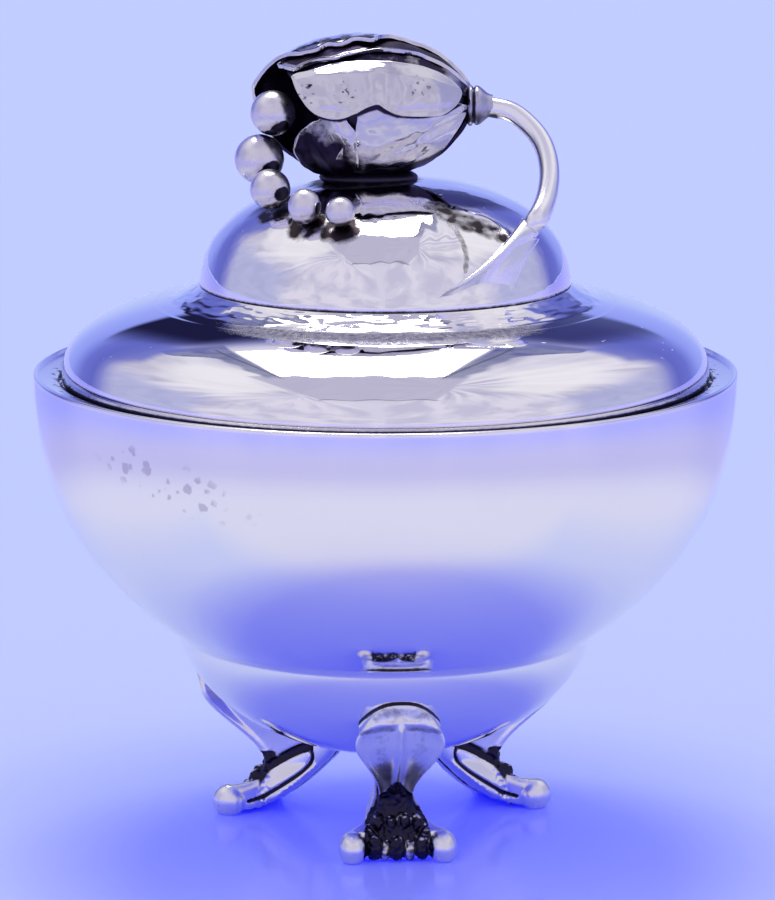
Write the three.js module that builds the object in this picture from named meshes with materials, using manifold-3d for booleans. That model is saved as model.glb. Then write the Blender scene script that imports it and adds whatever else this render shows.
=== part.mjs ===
// Covered sugar bowl in silver, on three cast feet, with a bud finial on its lid. Millimetres, +Z up.
// The origin is on the bowl's axis, at the level that the feet stand on. The front is towards -Y.

import * as THREE from "three";
import { mergeVertices } from "three/addons/utils/BufferGeometryUtils.js";
import Module from "manifold-3d";

const wasm = await Module();
wasm.setup();

// Fits
const seatGap = 0.3; // between pieces that are soldered or that rest on each other
const lidPlay = 0.46; // all round, between the lid and the ring that it drops into

// Bowl: one raised sheet, with an outline of two curves that meet at the step
const rimRadius = 48;
const rimHeight = 63.7;
const bowlSheet = 0.9;
const stepRadius = 28.25;
const stepHeight = 27.2;
const bowlBottomHeight = 10.9;
const wallUpright = 21.4; // how long the wall holds upright under the rim
const stepApproach = 10.8; // how long the wall holds its slope above the step
const stepSlope = 36; // degrees from level, just above the step
const lowerUpright = 6.2; // how long the lower bowl holds its slope under the step
const lowerLean = 7; // degrees from upright, just under the step
const bottomFlat = 18.8; // how far out the bottom stays nearly level

// Bearer ring, soldered inside the rim: a slope down to a narrow seat for the lid
const ringDrop = 0.4; // from the rim down to the ring's outer top edge
const ringSlopeDepth = 0.9;
const ringSeatDepth = 0.5; // from the foot of the slope down to the seat
const ringThickness = 1.2; // under the seat
const seatWidth = 1.34; // what the lid's edge rests on

// Lid, lower dome
const rimToLid = 3.86; // from the rim in to the lid's edge
const lidEdgeHeight = 1.3; // the upright edge
const lidSheet = 0.9;
const lidUpright = 5.1; // how long the shoulder holds upright above the edge
const lidInnerRun = 13.9; // how long the top holds its slope beside the upper dome
const lidInnerSlope = 10.3; // degrees from level, beside the upper dome
const lowerDomeRise = 10.9; // from the upright edge's top to the foot of the upper dome
const lowerDomeHole = 23.2; // radius of the hole under the upper dome

// Lid, upper dome
const upperDomeRadius = 25.3;
const upperDomeRise = 15.3;
const upperDomeSheet = 0.8;
const upperDomeUpright = 11.3; // how long its side holds upright
const upperDomeFlat = 13.5; // how far out its crown stays nearly level

// Bezel: the ring under the lid that drops inside the bearer ring
const bezelThickness = 0.9;
const bezelInLid = 3.1; // how far it stands up inside the lid
const bezelBelow = 4.6; // how far it reaches below the lid's edge

// Bud: petals wrapped on a core, lying along X
const budRadius = 9.1;
const budCentreX = -3; // where the bud is thickest
const budMouthLength = 15.6; // from there to where the outline would close at the mouth
const budStemLength = 15; // and the same towards the stem
const budTaper = 0.57; // 0.5 would be an ellipse, more draws the ends in
const budAboveDome = 10.1; // from the dome's crown up to the bud's axis
const budEndX = 11.1; // where the petals stop at the collar
const budBelly = 0.12; // how much fuller the bud is underneath, as a share of its radius
const petalSheet = 0.9;
const petalLift = 0.45; // how far the outer petals stand proud
const coreStartX = -8.5;
const coreEndShare = 0.72; // the radius of the core's end face, as a share of the core's there

// Collar and stem
const collarLength = 2.6;
const collarRadius = 2.8;
const collarLip = 0.8; // the collar's full-width band
const collarNeckRadius = 1.7; // where the collar meets the stem
const stemRadius = 1.38;
const stemDrop = 0.5; // the stem leaves the collar this far under the bud's axis
const stemReach = 7.7; // how far the loop stands out to the right of where the stem leaves the collar
const leafHalfWidth = 2.9;
const leafHalfThickness = 0.95;
const leafSpreadFrom = 0.52; // where along the stem it starts to flatten, as a share of its length
const leafSpreadTo = 0.96;

// Beads
const beadRadius = 3.24; // the largest bead's

// Feet
const footAngles = { foot_front: -85.5, foot_left: 154.5, foot_right: 34.5 };
const leafFrontRadius = 27.2; // the leaf's top, measured from the bowl's axis
const knobRadius = 21.3;
const knobSpread = 6.1; // half the distance between a foot's two knobs
const knobLength = 2.4;
const knobWidth = 1.95;
const knobHeight = 2.25;
const knobFlat = 0.45; // how much of a knob is worn flat underneath
const toeRadius = 1.25;
const toeSpread = 3.1; // from one toe to the next
const leafBack = 2.6; // from a leaf's front to its back
const leafCrown = 0.7; // how far a leaf's middle stands in front of its edges
const leafBackShare = 0.8; // how wide a leaf's back is, as a share of its front
const webThickness = 4.4;

// How finely round shapes are divided
const around = 48;
const profileSteps = 7;
const beadSides = 15;
const knobSides = 12;
const toeSides = 9;
const mergeDistance = 1e-4;

// Everything below is worked out from the sizes above
const lidRadius = rimRadius - rimToLid;
const lidSeatHeight = rimHeight - ringDrop - ringSlopeDepth - ringSeatDepth;
const lidEdgeBottom = lidSeatHeight + seatGap;
const lidEdgeTop = lidEdgeBottom + lidEdgeHeight;
const lowerDomeTop = lidEdgeTop + lowerDomeRise;
const upperDomeBase = lowerDomeTop + seatGap;
const domeCrown = upperDomeBase + upperDomeRise;
const budHeight = domeCrown + budAboveDome;

const at = (r, z) => new THREE.Vector2(r, z);
const radians = THREE.MathUtils.degToRad;

// A smooth run from one profile point to another, with its two handles.
function curve(start, startHandle, endHandle, end) {
  return new THREE.CubicBezierCurve(start, startHandle, endHandle, end);
}

// A profile moved sideways. The outlines below run upwards, so a positive distance is outwards.
function beside(points, distance) {
  return points.map((point, i) => {
    const before = points[Math.max(i - 1, 0)];
    const after = points[Math.min(i + 1, points.length - 1)];
    const arriving = point.clone().sub(before);
    const leaving = after.clone().sub(point);
    const first = (i > 0 ? arriving : leaving).normalize();
    const second = (i < points.length - 1 ? leaving : arriving).normalize();
    const normal = at(first.y + second.y, -first.x - second.x);
    normal.multiplyScalar(distance / (1 + first.dot(second)));
    const moved = point.clone().add(normal);
    return point.x === 0 ? at(0, moved.y) : moved;
  });
}

// A closed geometry with its faces turned outwards.
function facingOut(geometry) {
  const position = geometry.getAttribute("position");
  const index = geometry.getIndex().array;
  const a = new THREE.Vector3();
  const b = new THREE.Vector3();
  const c = new THREE.Vector3();
  let volume = 0;
  for (let i = 0; i < index.length; i += 3) {
    a.fromBufferAttribute(position, index[i]);
    b.fromBufferAttribute(position, index[i + 1]);
    c.fromBufferAttribute(position, index[i + 2]);
    volume += a.dot(b.cross(c));
  }
  if (volume > 0) return geometry;
  for (let i = 0; i < index.length; i += 3) {
    const kept = index[i + 1];
    index[i + 1] = index[i + 2];
    index[i + 2] = kept;
  }
  return geometry;
}

// Merges shared corners and drops the faces that closed up at a pole.
function welded(geometry) {
  geometry.deleteAttribute("normal");
  geometry.deleteAttribute("uv");
  const merged = mergeVertices(geometry, mergeDistance);
  const index = merged.getIndex().array;
  const kept = [];
  for (let i = 0; i < index.length; i += 3) {
    const [a, b, c] = [index[i], index[i + 1], index[i + 2]];
    if (a !== b && b !== c && c !== a) kept.push(a, b, c);
  }
  merged.setIndex(kept);
  return facingOut(merged);
}

// A closed profile turned round the Z axis.
function turned(points) {
  return welded(new THREE.LatheGeometry(points, around).rotateX(Math.PI / 2));
}

// A closed body through rings of points, with a fan over each end.
function lofted(rings) {
  const sides = rings[0].length;
  const corners = rings.flat();
  const index = [];
  for (let i = 0; i + 1 < rings.length; i += 1) {
    for (let j = 0; j < sides; j += 1) {
      const here = i * sides + j;
      const next = i * sides + ((j + 1) % sides);
      index.push(here, next, here + sides, next, next + sides, here + sides);
    }
  }
  for (const [ring, first, step] of [[rings[0], 0, -1], [rings.at(-1), corners.length - sides, 1]]) {
    const middle = new THREE.Vector3();
    ring.forEach((corner) => middle.add(corner));
    const centre = corners.push(middle.divideScalar(sides)) - 1;
    for (let j = 0; j < sides; j += 1) {
      const here = first + j;
      const next = first + ((j + 1) % sides);
      index.push(centre, step > 0 ? here : next, step > 0 ? next : here);
    }
  }
  const geometry = new THREE.BufferGeometry().setFromPoints(corners);
  geometry.setIndex(index);
  return welded(geometry);
}

// Solids for cutting and joining, and back again.
function solidOf(geometry) {
  const vertProperties = geometry.getAttribute("position").array;
  const triVerts = new Uint32Array(geometry.getIndex().array);
  return new wasm.Manifold(new wasm.Mesh({ numProp: 3, vertProperties, triVerts }));
}

function geometryOf(solid) {
  const mesh = solid.getMesh();
  const geometry = new THREE.BufferGeometry();
  geometry.setAttribute("position", new THREE.BufferAttribute(mesh.vertProperties, 3));
  geometry.setIndex(new THREE.BufferAttribute(mesh.triVerts, 1));
  return geometry;
}

// Outside outlines, from the axis or the foot of the piece upwards

// A handle that leaves a profile point at an angle from level.
function handle(from, angle, length) {
  return at(from.x + length * Math.cos(radians(angle)), from.y + length * Math.sin(radians(angle)));
}

function bowlOutline() {
  const step = at(stepRadius, stepHeight);
  const underStep = handle(step, -90 - lowerLean, lowerUpright);
  const overStep = handle(step, stepSlope, stepApproach);
  const lower = curve(at(0, bowlBottomHeight), at(bottomFlat, bowlBottomHeight), underStep, step);
  const upper = curve(step, overStep, at(rimRadius, rimHeight - wallUpright), at(rimRadius, rimHeight));
  return [...lower.getPoints(profileSteps), ...upper.getPoints(profileSteps).slice(1)];
}

function lowerDomeOutline() {
  const foot = at(lidRadius, lidEdgeTop);
  const top = at(upperDomeRadius, lowerDomeTop);
  const shoulder = at(lidRadius, lidEdgeTop + lidUpright);
  return curve(foot, shoulder, handle(top, -lidInnerSlope, lidInnerRun), top).getPoints(profileSteps);
}

const upperDomeCurve = curve(
  at(upperDomeRadius, upperDomeBase),
  at(upperDomeRadius, upperDomeBase + upperDomeUpright),
  at(upperDomeFlat, domeCrown),
  at(0, domeCrown),
);

// The place a given height above the upper dome: along runs from 0 at its foot to 1 at its crown.
function overDome(along, angle, height) {
  const place = upperDomeCurve.getPoint(along);
  const direction = upperDomeCurve.getTangent(along);
  const r = place.x + direction.y * height;
  const z = place.y - direction.x * height;
  return new THREE.Vector3(r * Math.cos(radians(angle)), r * Math.sin(radians(angle)), z);
}

// Bowl

function bowlBody() {
  const outside = bowlOutline();
  const inside = beside(outside, -bowlSheet);
  inside.at(-1).y = rimHeight;
  return turned([...outside, ...inside.reverse()]);
}

function lidSeatRing() {
  const wall = rimRadius - bowlSheet - seatGap;
  const slopeFoot = lidRadius + lidPlay;
  const inner = lidRadius - seatWidth;
  const top = rimHeight - ringDrop;
  return turned([
    at(wall, top),
    at(slopeFoot, top - ringSlopeDepth),
    at(slopeFoot, lidSeatHeight),
    at(inner, lidSeatHeight),
    at(inner, lidSeatHeight - ringThickness),
    at(wall, lidSeatHeight - ringThickness),
    at(wall, top),
  ]);
}

// Lid

const lidEdgeInner = lidRadius - seatWidth - lidPlay + seatGap;

function lidLowerDome() {
  const outside = [at(lidRadius, lidEdgeBottom), ...lowerDomeOutline(), at(lowerDomeHole, lowerDomeTop)];
  const inside = beside(outside, -lidSheet).slice(1);
  inside[0].y = lidEdgeTop + lidSheet;
  inside.at(-1).x = lowerDomeHole;
  const edge = [at(lidEdgeInner, lidEdgeTop), at(lidEdgeInner, lidEdgeBottom), at(lidRadius, lidEdgeBottom)];
  return turned([...outside, ...inside.reverse(), ...edge]);
}

function lidUpperDome() {
  const outside = upperDomeCurve.getPoints(profileSteps);
  const inside = beside(outside, -upperDomeSheet);
  inside[0].y = upperDomeBase;
  return turned([...inside.reverse(), ...outside]);
}

function lidBezel() {
  const outer = lidEdgeInner - seatGap;
  const inner = outer - bezelThickness;
  const top = lidEdgeBottom + bezelInLid;
  const bottom = lidEdgeBottom - bezelBelow;
  return turned([at(inner, bottom), at(outer, bottom), at(outer, top), at(inner, top), at(inner, bottom)]);
}

// Bud

// The bud's outline radius at a place along its length.
function budOutline(x) {
  const length = x < budCentreX ? budMouthLength : budStemLength;
  const share = (x - budCentreX) / length;
  return budRadius * (1 - share * share) ** budTaper;
}

// A place on the bud: the angle is 0 towards the front and 90 at the top.
function onBud(x, angle, outwards) {
  const turn = radians(angle);
  const down = Math.max(-Math.sin(turn), 0);
  const r = budOutline(x) * (1 + budBelly * down * down) + outwards;
  return new THREE.Vector3(x, -r * Math.cos(turn), budHeight + r * Math.sin(turn));
}

// Where neighbouring petals meet, in degrees round the bud.
const seams = { frontLower: -5, frontUpper: 50, topBack: 118, backUnder: 190, underLower: 262 };
// The seam at the front rises in a shallow notch.
const notchRise = 11.5; // degrees
const notchX = -1.3;
const notchWidth = 2;

function seamAngle(name, x) {
  if (name !== "frontLower") return seams[name];
  return seams.frontLower + notchRise * Math.exp(-(((x - notchX) / notchWidth) ** 2));
}

// left is where the petal starts on its low edge, at its middle and on its high edge, as shares of the way
// from the bud's thickest place to its mouth.
const petals = [
  { name: "front_upper_petal", low: "frontLower", high: "frontUpper", left: [0.359, 0.603, 0.615], lift: 1 },
  { name: "lower_petal", low: "underLower", high: "frontLower", left: [0.321, 0.551, 0.397], lift: 0 },
  { name: "top_petal", low: "frontUpper", high: "topBack", left: [0.679, 0.859, 0.897], lift: 0 },
  { name: "back_petal", low: "topBack", high: "backUnder", left: [0.897, 0.974, 0.897], lift: 1 },
  { name: "under_petal", low: "backUnder", high: "underLower", left: [0.833, 0.731, 0.449], lift: 0 },
];
const petalStepsAlong = 11;
const petalStepsAcross = 6;

// The rings of a petal: its outer side from the low edge to the high one, and its inner side back.
function petalBlank({ low, high, left, lift }) {
  const [startLow, startMiddle, startHigh] = left;
  const startBend = 2 * startMiddle - (startLow + startHigh) / 2;
  const start = new THREE.QuadraticBezierCurve(at(startLow, 0), at(startBend, 0), at(startHigh, 0));
  const place = (i, j, inwards) => {
    const across = j / petalStepsAcross;
    const startX = budCentreX - budMouthLength * start.getPoint(across).x;
    const x = THREE.MathUtils.lerp(startX, budEndX, i / petalStepsAlong);
    const room = THREE.MathUtils.radToDeg(seatGap / 2 / budOutline(x));
    const lowAngle = seamAngle(low, x) + room;
    const turnRound = seams[high] < seams[low] ? 360 : 0;
    const highAngle = seamAngle(high, x) + turnRound - room;
    const proud = lift * petalLift * Math.sin((Math.PI * (i + 1)) / (petalStepsAlong + 1));
    return onBud(x, THREE.MathUtils.lerp(lowAngle, highAngle, across), proud - inwards);
  };
  const rings = [];
  for (let i = 0; i <= petalStepsAlong; i += 1) {
    const ring = [];
    for (let j = 0; j <= petalStepsAcross; j += 1) ring.push(place(i, j, 0));
    for (let j = petalStepsAcross; j >= 0; j -= 1) ring.push(place(i, j, petalSheet));
    rings.push(ring);
  }
  return rings;
}

// What the bud and the stem are cut back from: the upper dome grown by the gap, and all below its foot.
function domeRoom() {
  const skin = beside(upperDomeCurve.getPoints(profileSteps), seatGap);
  return solidOf(turned([at(0, 0), at(rimRadius, 0), at(rimRadius, upperDomeBase), ...skin]));
}

function budCore() {
  const clear = petalSheet + seatGap;
  const endRadius = coreEndShare * (budOutline(coreStartX) - clear);
  const points = [at(0, coreStartX), at(endRadius, coreStartX)];
  for (let i = 1; i <= profileSteps; i += 1) {
    const x = THREE.MathUtils.lerp(coreStartX, budEndX, i / profileSteps);
    points.push(at(budOutline(x) - clear, x));
  }
  points.push(at(0, budEndX));
  const lathe = new THREE.LatheGeometry(points, around / 2).rotateZ(-Math.PI / 2);
  return welded(lathe.translate(0, 0, budHeight));
}

// Collar and stem

const collarStart = budEndX + seatGap;
const stemStart = collarStart + collarLength + seatGap;

function stemCollar() {
  const points = [
    at(0, collarStart),
    at(collarRadius, collarStart),
    at(collarRadius, collarStart + collarLip),
    at(collarNeckRadius, collarStart + collarLength),
    at(0, collarStart + collarLength),
  ];
  const lathe = new THREE.LatheGeometry(points, around / 2).rotateZ(-Math.PI / 2);
  return welded(lathe.translate(0, 0, budHeight - stemDrop / 2));
}

const stemOrigin = new THREE.Vector3(stemStart, 0, budHeight - stemDrop);
// The loop's bends, from where it leaves the collar, as shares of its reach.
const stemBends = [
  [0, 0, 0],
  [0.351, -0.065, -0.078],
  [0.701, -0.234, -0.338],
  [0.909, -0.468, -0.623],
  [1, -0.805, -1.013],
  [0.935, -1.247, -1.442],
  [0.753, -1.649, -1.766],
];
// Where the end lies on the upper dome. height is from the dome to the stem's middle, in stem radii.
const stemEnd = [
  { along: 0.275, angle: -41.5, height: 1.16 },
  { along: 0.195, angle: -52.6, height: 0.87 },
  { along: 0.12, angle: -61, height: 0.72 },
  { along: 0.05, angle: -68.5, height: 0.58 },
];
const stemStations = 30;
const stemSides = 12;

// The stem is round until it reaches the dome, then it flattens and spreads into a leaf.
function stemLoop() {
  const bends = [];
  for (const bend of stemBends) {
    bends.push(stemOrigin.clone().addScaledVector(new THREE.Vector3(...bend), stemReach));
  }
  const landing = stemEnd.map(({ along, angle, height }) => overDome(along, angle, height * stemRadius));
  const path = new THREE.CatmullRomCurve3([...bends, ...landing], false, "centripetal");
  const domeMiddle = new THREE.Vector3(0, 0, upperDomeBase);
  const rings = [];
  for (let i = 0; i <= stemStations; i += 1) {
    const along = i / stemStations;
    const centre = path.getPointAt(along);
    const direction = path.getTangentAt(along);
    const outwards = centre.clone().sub(domeMiddle);
    outwards.addScaledVector(direction, -outwards.dot(direction)).normalize();
    const sideways = direction.clone().cross(outwards);
    const spread = THREE.MathUtils.smoothstep(along, leafSpreadFrom, leafSpreadTo);
    const halfWidth = THREE.MathUtils.lerp(stemRadius, leafHalfWidth, spread);
    const halfThickness = THREE.MathUtils.lerp(stemRadius, leafHalfThickness, spread);
    const ring = [];
    for (let j = 0; j < stemSides; j += 1) {
      const turn = (2 * Math.PI * j) / stemSides;
      const corner = centre.clone().addScaledVector(sideways, halfWidth * Math.cos(turn));
      ring.push(corner.addScaledVector(outwards, halfThickness * Math.sin(turn)));
    }
    rings.push(ring);
  }
  return lofted(rings);
}

// Beads: three stand on the dome, and the others climb from the third of them into the bud's mouth.
// share is the bead's radius as a share of the largest one's, and heading the way from the bead before.
const beads = [
  { name: "bead_1", share: 0.58, along: 0.471, angle: -107.8 },
  { name: "bead_2", share: 0.65, along: 0.48, angle: -123.5 },
  { name: "bead_3", share: 0.81, along: 0.534, angle: -149.2 },
  { name: "bead_4", share: 1, heading: [-1.55, 4.9, 3.4] },
  { name: "bead_5", share: 0.905, heading: [1.85, 0.3, 6.2] },
];

function beadCentres() {
  const centres = [];
  beads.forEach((bead, i) => {
    const radius = bead.share * beadRadius;
    if (!bead.heading) {
      centres.push(overDome(bead.along, bead.angle, radius + seatGap));
      return;
    }
    const reach = beads[i - 1].share * beadRadius + seatGap + radius;
    const heading = new THREE.Vector3(...bead.heading).normalize();
    centres.push(centres[i - 1].clone().addScaledVector(heading, reach));
  });
  return centres;
}

// Feet, modelled pointing along +X with their middle on the XZ plane, and then turned into place.
// The lists give a foot's sizes as shares of its height, which is the step's height.

// Down the leaf's front: depth below the step, how far it is inside the leaf's top, and half its width.
const leafStations = [
  [0.162, 0, 0.033],
  [0.199, 0.002, 0.125],
  [0.265, 0.013, 0.188],
  [0.338, 0.029, 0.221],
  [0.397, 0.048, 0.217],
  [0.471, 0.096, 0.176],
  [0.544, 0.173, 0.132],
  [0.607, 0.246, 0.103],
  [0.673, 0.309, 0.09],
  [0.743, 0.349, 0.092],
  [0.798, 0.316, 0.107],
  [0.846, 0.25, 0.121],
];

const leafAcross = [-1, -0.5, 0, 0.5, 1]; // places across the front, as shares of half its width

function footLeaf() {
  const rings = leafStations.map((station) => {
    const [down, inset, half] = station.map((share) => share * stepHeight);
    const front = leafFrontRadius - inset;
    const z = stepHeight - down;
    const ring = [];
    for (const share of leafAcross) {
      ring.push(new THREE.Vector3(front - leafCrown * share * share, half * share, z));
    }
    ring.push(new THREE.Vector3(front - leafBack, half * leafBackShare, z));
    ring.push(new THREE.Vector3(front - leafBack, -half * leafBackShare, z));
    return ring;
  });
  return lofted(rings);
}

// One side strip, from a knob back and up to the bowl: radius from the knob's, share of the knob's spread,
// height, half width and half height.
const stripStations = [
  [0, 1, 0.07, 0.059, 0.059],
  [-0.07, 0.74, 0.07, 0.051, 0.057],
  [-0.136, 0.45, 0.099, 0.048, 0.066],
  [-0.257, 0.24, 0.18, 0.046, 0.077],
  [-0.338, 0.2, 0.257, 0.044, 0.077],
  [-0.404, 0.19, 0.346, 0.044, 0.074],
  [-0.441, 0.19, 0.441, 0.044, 0.07],
];
const stripSides = 8;

function footStrip(side) {
  const places = [];
  for (const [r, share, z] of stripStations) {
    places.push(new THREE.Vector3(knobRadius + r * stepHeight, side * share * knobSpread, z * stepHeight));
  }
  const path = new THREE.CatmullRomCurve3(places);
  const rings = places.map((centre, i) => {
    const direction = path.getTangent(i / (places.length - 1));
    const sideways = new THREE.Vector3(0, 0, 1).cross(direction).normalize();
    const upwards = direction.clone().cross(sideways);
    const [halfWidth, halfHeight] = stripStations[i].slice(3).map((share) => share * stepHeight);
    const ring = [];
    for (let j = 0; j < stripSides; j += 1) {
      const turn = (2 * Math.PI * j) / stripSides;
      const corner = centre.clone().addScaledVector(sideways, halfWidth * Math.cos(turn));
      ring.push(corner.addScaledVector(upwards, halfHeight * Math.sin(turn)));
    }
    return ring;
  });
  return lofted(rings);
}

// The web behind the leaf, which carries the strips and reaches the bowl: radius from the knob's, and height.
const webCorners = [
  [-0.022, 0.044],
  [-0.169, 0.055],
  [-0.294, 0.132],
  [-0.39, 0.235],
  [-0.478, 0.404],
  [-0.331, 0.551],
  [0.088, 0.809],
  [0.14, 0.603],
  [-0.081, 0.331],
  [-0.143, 0.243],
  [-0.088, 0.162],
];

function footWeb() {
  const side = new THREE.Shape(webCorners.map(([r, z]) => at(knobRadius + r * stepHeight, z * stepHeight)));
  const web = new THREE.ExtrudeGeometry(side, { depth: webThickness, bevelEnabled: false, steps: 1 });
  return welded(web.rotateX(Math.PI / 2).translate(0, webThickness / 2, 0));
}

// A ball with two rows of faces for every three round it.
function ball(radius, x, y, z, sides) {
  return welded(new THREE.SphereGeometry(radius, sides, (2 * sides) / 3).translate(x, y, z));
}

function footKnob(side) {
  const knob = ball(1, 0, 0, 0, knobSides).scale(knobLength, knobWidth, knobHeight);
  return knob.translate(knobRadius, side * knobSpread, knobHeight - knobFlat);
}

function footToe(place) {
  return ball(toeRadius, knobRadius, place * toeSpread, toeRadius, toeSides);
}

// What each foot is cut back from: the bowl, grown by the gap.
function bowlRoom() {
  const skin = beside(bowlOutline(), seatGap);
  return solidOf(turned([...skin, at(0, rimHeight)]));
}

// The table, as a block that takes off what would reach under it.
function tableRoom() {
  const size = 2 * rimRadius;
  return solidOf(welded(new THREE.BoxGeometry(size, size, size).translate(0, 0, -size / 2)));
}

function foot(angle) {
  let solid = solidOf(footLeaf()).add(solidOf(footWeb()));
  for (const side of [-1, 1]) {
    solid = solid.add(solidOf(footStrip(side)));
    solid = solid.add(solidOf(footKnob(side)));
  }
  for (const place of [-1, 0, 1]) solid = solid.add(solidOf(footToe(place)));
  solid = solid.rotate([0, 0, angle]);
  return geometryOf(solid.subtract(bowlRoom()).subtract(tableRoom()));
}

// The finished object

const sugarBowl = new THREE.Group();

function place(name, geometry, color, roughness) {
  const material = new THREE.MeshStandardMaterial({ color, roughness, metalness: 1 });
  const mesh = new THREE.Mesh(geometry, material);
  mesh.name = name;
  sugarBowl.add(mesh);
}

place("bowl_body", bowlBody(), 0xd8daf2, 0.16);
place("lid_seat_ring", lidSeatRing(), 0xc9ccf0, 0.2);
for (const [name, angle] of Object.entries(footAngles)) place(name, foot(angle), 0xc4c6ea, 0.24);
place("lid_lower_dome", lidLowerDome(), 0xdcdcee, 0.12);
place("lid_upper_dome", lidUpperDome(), 0xd6d6ea, 0.14);
place("lid_bezel", lidBezel(), 0xbfc2dc, 0.3);
place("bud_core", budCore(), 0x2b2740, 0.5);
for (const petal of petals) {
  const blank = solidOf(lofted(petalBlank(petal)));
  place(petal.name, geometryOf(blank.subtract(domeRoom())), 0xcfcde4, 0.18);
}
place("stem_collar", stemCollar(), 0xb4b4d2, 0.28);
place("stem_loop", geometryOf(solidOf(stemLoop()).subtract(domeRoom())), 0xdddcf0, 0.15);
beadCentres().forEach((centre, i) => {
  const { name, share } = beads[i];
  place(name, ball(share * beadRadius, ...centre, beadSides), 0xcdc9da, 0.16);
});

export default sugarBowl;
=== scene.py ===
# Covered sugar bowl in polished silver. Sizes are in millimetres, and each piece is laid down in metres.
import bpy
import math
import numpy as np
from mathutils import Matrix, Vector, noise


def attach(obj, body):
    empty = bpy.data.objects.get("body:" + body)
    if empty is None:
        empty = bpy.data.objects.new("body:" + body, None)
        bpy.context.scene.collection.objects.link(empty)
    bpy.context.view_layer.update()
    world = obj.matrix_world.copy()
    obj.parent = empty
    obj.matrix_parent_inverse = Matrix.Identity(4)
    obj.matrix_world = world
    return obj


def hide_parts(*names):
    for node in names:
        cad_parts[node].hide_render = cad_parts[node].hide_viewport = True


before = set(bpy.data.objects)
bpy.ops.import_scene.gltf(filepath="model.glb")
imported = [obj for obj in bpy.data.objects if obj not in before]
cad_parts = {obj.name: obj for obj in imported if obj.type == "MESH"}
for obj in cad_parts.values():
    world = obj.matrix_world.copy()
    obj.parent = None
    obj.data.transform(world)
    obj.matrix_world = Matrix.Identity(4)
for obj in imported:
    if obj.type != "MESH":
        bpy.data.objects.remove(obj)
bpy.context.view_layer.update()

# Bowl: one sheet of silver, raised by hammer and planished, with a wide upper bowl over a smaller lower one.
# The wall thins a little towards the rim, which is filed round. Finger marks have dried on its left front.
rim_radius = 48.0
rim_height = 63.7
step = (28.25, 27.2)
bottom_height = 10.9
bowl_outline_upper = [step, (36.987, 33.548), (rim_radius, 42.3), (rim_radius, rim_height)]
bowl_outline_lower = [(0.0, bottom_height), (18.8, bottom_height), (27.494, 21.046), step]
bowl_sheet = 0.9
rim_sheet = 0.55
bowl_sides = 320
crease_angle = math.radians(50)
tone_drift = 0.965
rubbed_from, rubbed_to = 0.35, 0.75
hair_scale = (200, 2200, 700)
hair_turn = (0.3, 0.5, 0.9)
hair_depth = 0.00003
grain_scale = 1500
oxide_and_shade_gloss = 0.38


def curve(handles, t):
    # A place on a smooth curve between two ends, drawn by two handles: t runs from 0 to 1.
    a, b, c, d = [np.array(h, float) for h in handles]
    return (1 - t) ** 3 * a + 3 * (1 - t) ** 2 * t * b + 3 * (1 - t) * t * t * c + t ** 3 * d


def bend(handles, count):
    # A run of profile points along such a curve.
    return curve(handles, np.linspace(0, 1, count)[:, None])


def unit(ways):
    # Directions at length 1.
    return ways / np.linalg.norm(ways, axis=-1, keepdims=True)


def outward(profile):
    # The directions square to a profile, to the right of the way it runs.
    along = unit(np.gradient(profile, axis=0))
    return np.stack([along[:, 1], -along[:, 0]], 1)


def offset(profile, distance):
    # The same profile moved outward by a distance.
    moved = profile + outward(profile) * np.reshape(distance, (-1, 1))
    moved[profile[:, 0] == 0, 0] = 0
    return moved


def lip(start, end, bulge, count=5):
    # A small round edge from one profile point to the next.
    start, end = np.array(start, float), np.array(end, float)
    middle, across = (start + end) / 2, (end - start) / 2
    out = np.array([across[1], -across[0]]) * bulge
    t = np.linspace(0, math.pi, count + 2)[1:-1, None]
    return middle - across * np.cos(t) + out * np.sin(t)


def lay(name, points, faces, body, slot, replaced, *materials):
    # A named piece from points in millimetres, smooth shaded, riding on its body.
    mesh = bpy.data.meshes.new(name)
    mesh.from_pydata([tuple(p) for p in np.asarray(points, float) / 1000], [], faces)
    mesh.validate()
    mesh.shade_smooth()
    mesh.set_sharp_from_angle(angle=crease_angle)
    for material in materials:
        mesh.materials.append(material)
    piece = bpy.data.objects.new(name, mesh)
    bpy.context.scene.collection.objects.link(piece)
    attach(piece, body)
    if replaced:
        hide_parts(*replaced)
    return piece


def spin(profile, sides, closed=False):
    # A profile turned round the Z axis, with its faces outwards where it runs upwards on the outside.
    profile = np.asarray(profile, float)
    points, rows = [], []
    for r, z in profile:
        if r < 1e-6:
            rows.append([len(points)] * sides)
            points.append((0, 0, z))
            continue
        rows.append(list(range(len(points), len(points) + sides)))
        for k in range(sides):
            turn = 2 * math.pi * k / sides
            points.append((r * math.cos(turn), r * math.sin(turn), z))
    if closed:
        rows.append(rows[0])
    faces = []
    for low, high in zip(rows, rows[1:]):
        for k in range(sides):
            n = (k + 1) % sides
            face = [low[k], low[n], high[n], high[k]]
            face = [v for i, v in enumerate(face) if v != face[i - 1]]
            if len(set(face)) > 2:
                faces.append(face)
    return np.array(points), faces


def planished(points, size, depth, seed):
    # The slight unevenness that hammering leaves, as a shift along the direction from the axis and up.
    moved = points.copy()
    for i, p in enumerate(points):
        q = Vector(p) / size
        wave = noise.noise(q + Vector((seed, 0, 0))) + 0.5 * noise.noise(q * 2.1 + Vector((0, seed, 0)))
        r = math.hypot(p[0], p[1])
        out = np.array([p[0] / r, p[1] / r, 0.0]) if r > 1e-6 else np.zeros(3)
        moved[i] = p + (out * 0.7 + np.array([0, 0, 0.7])) * wave * depth
    return moved


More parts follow.
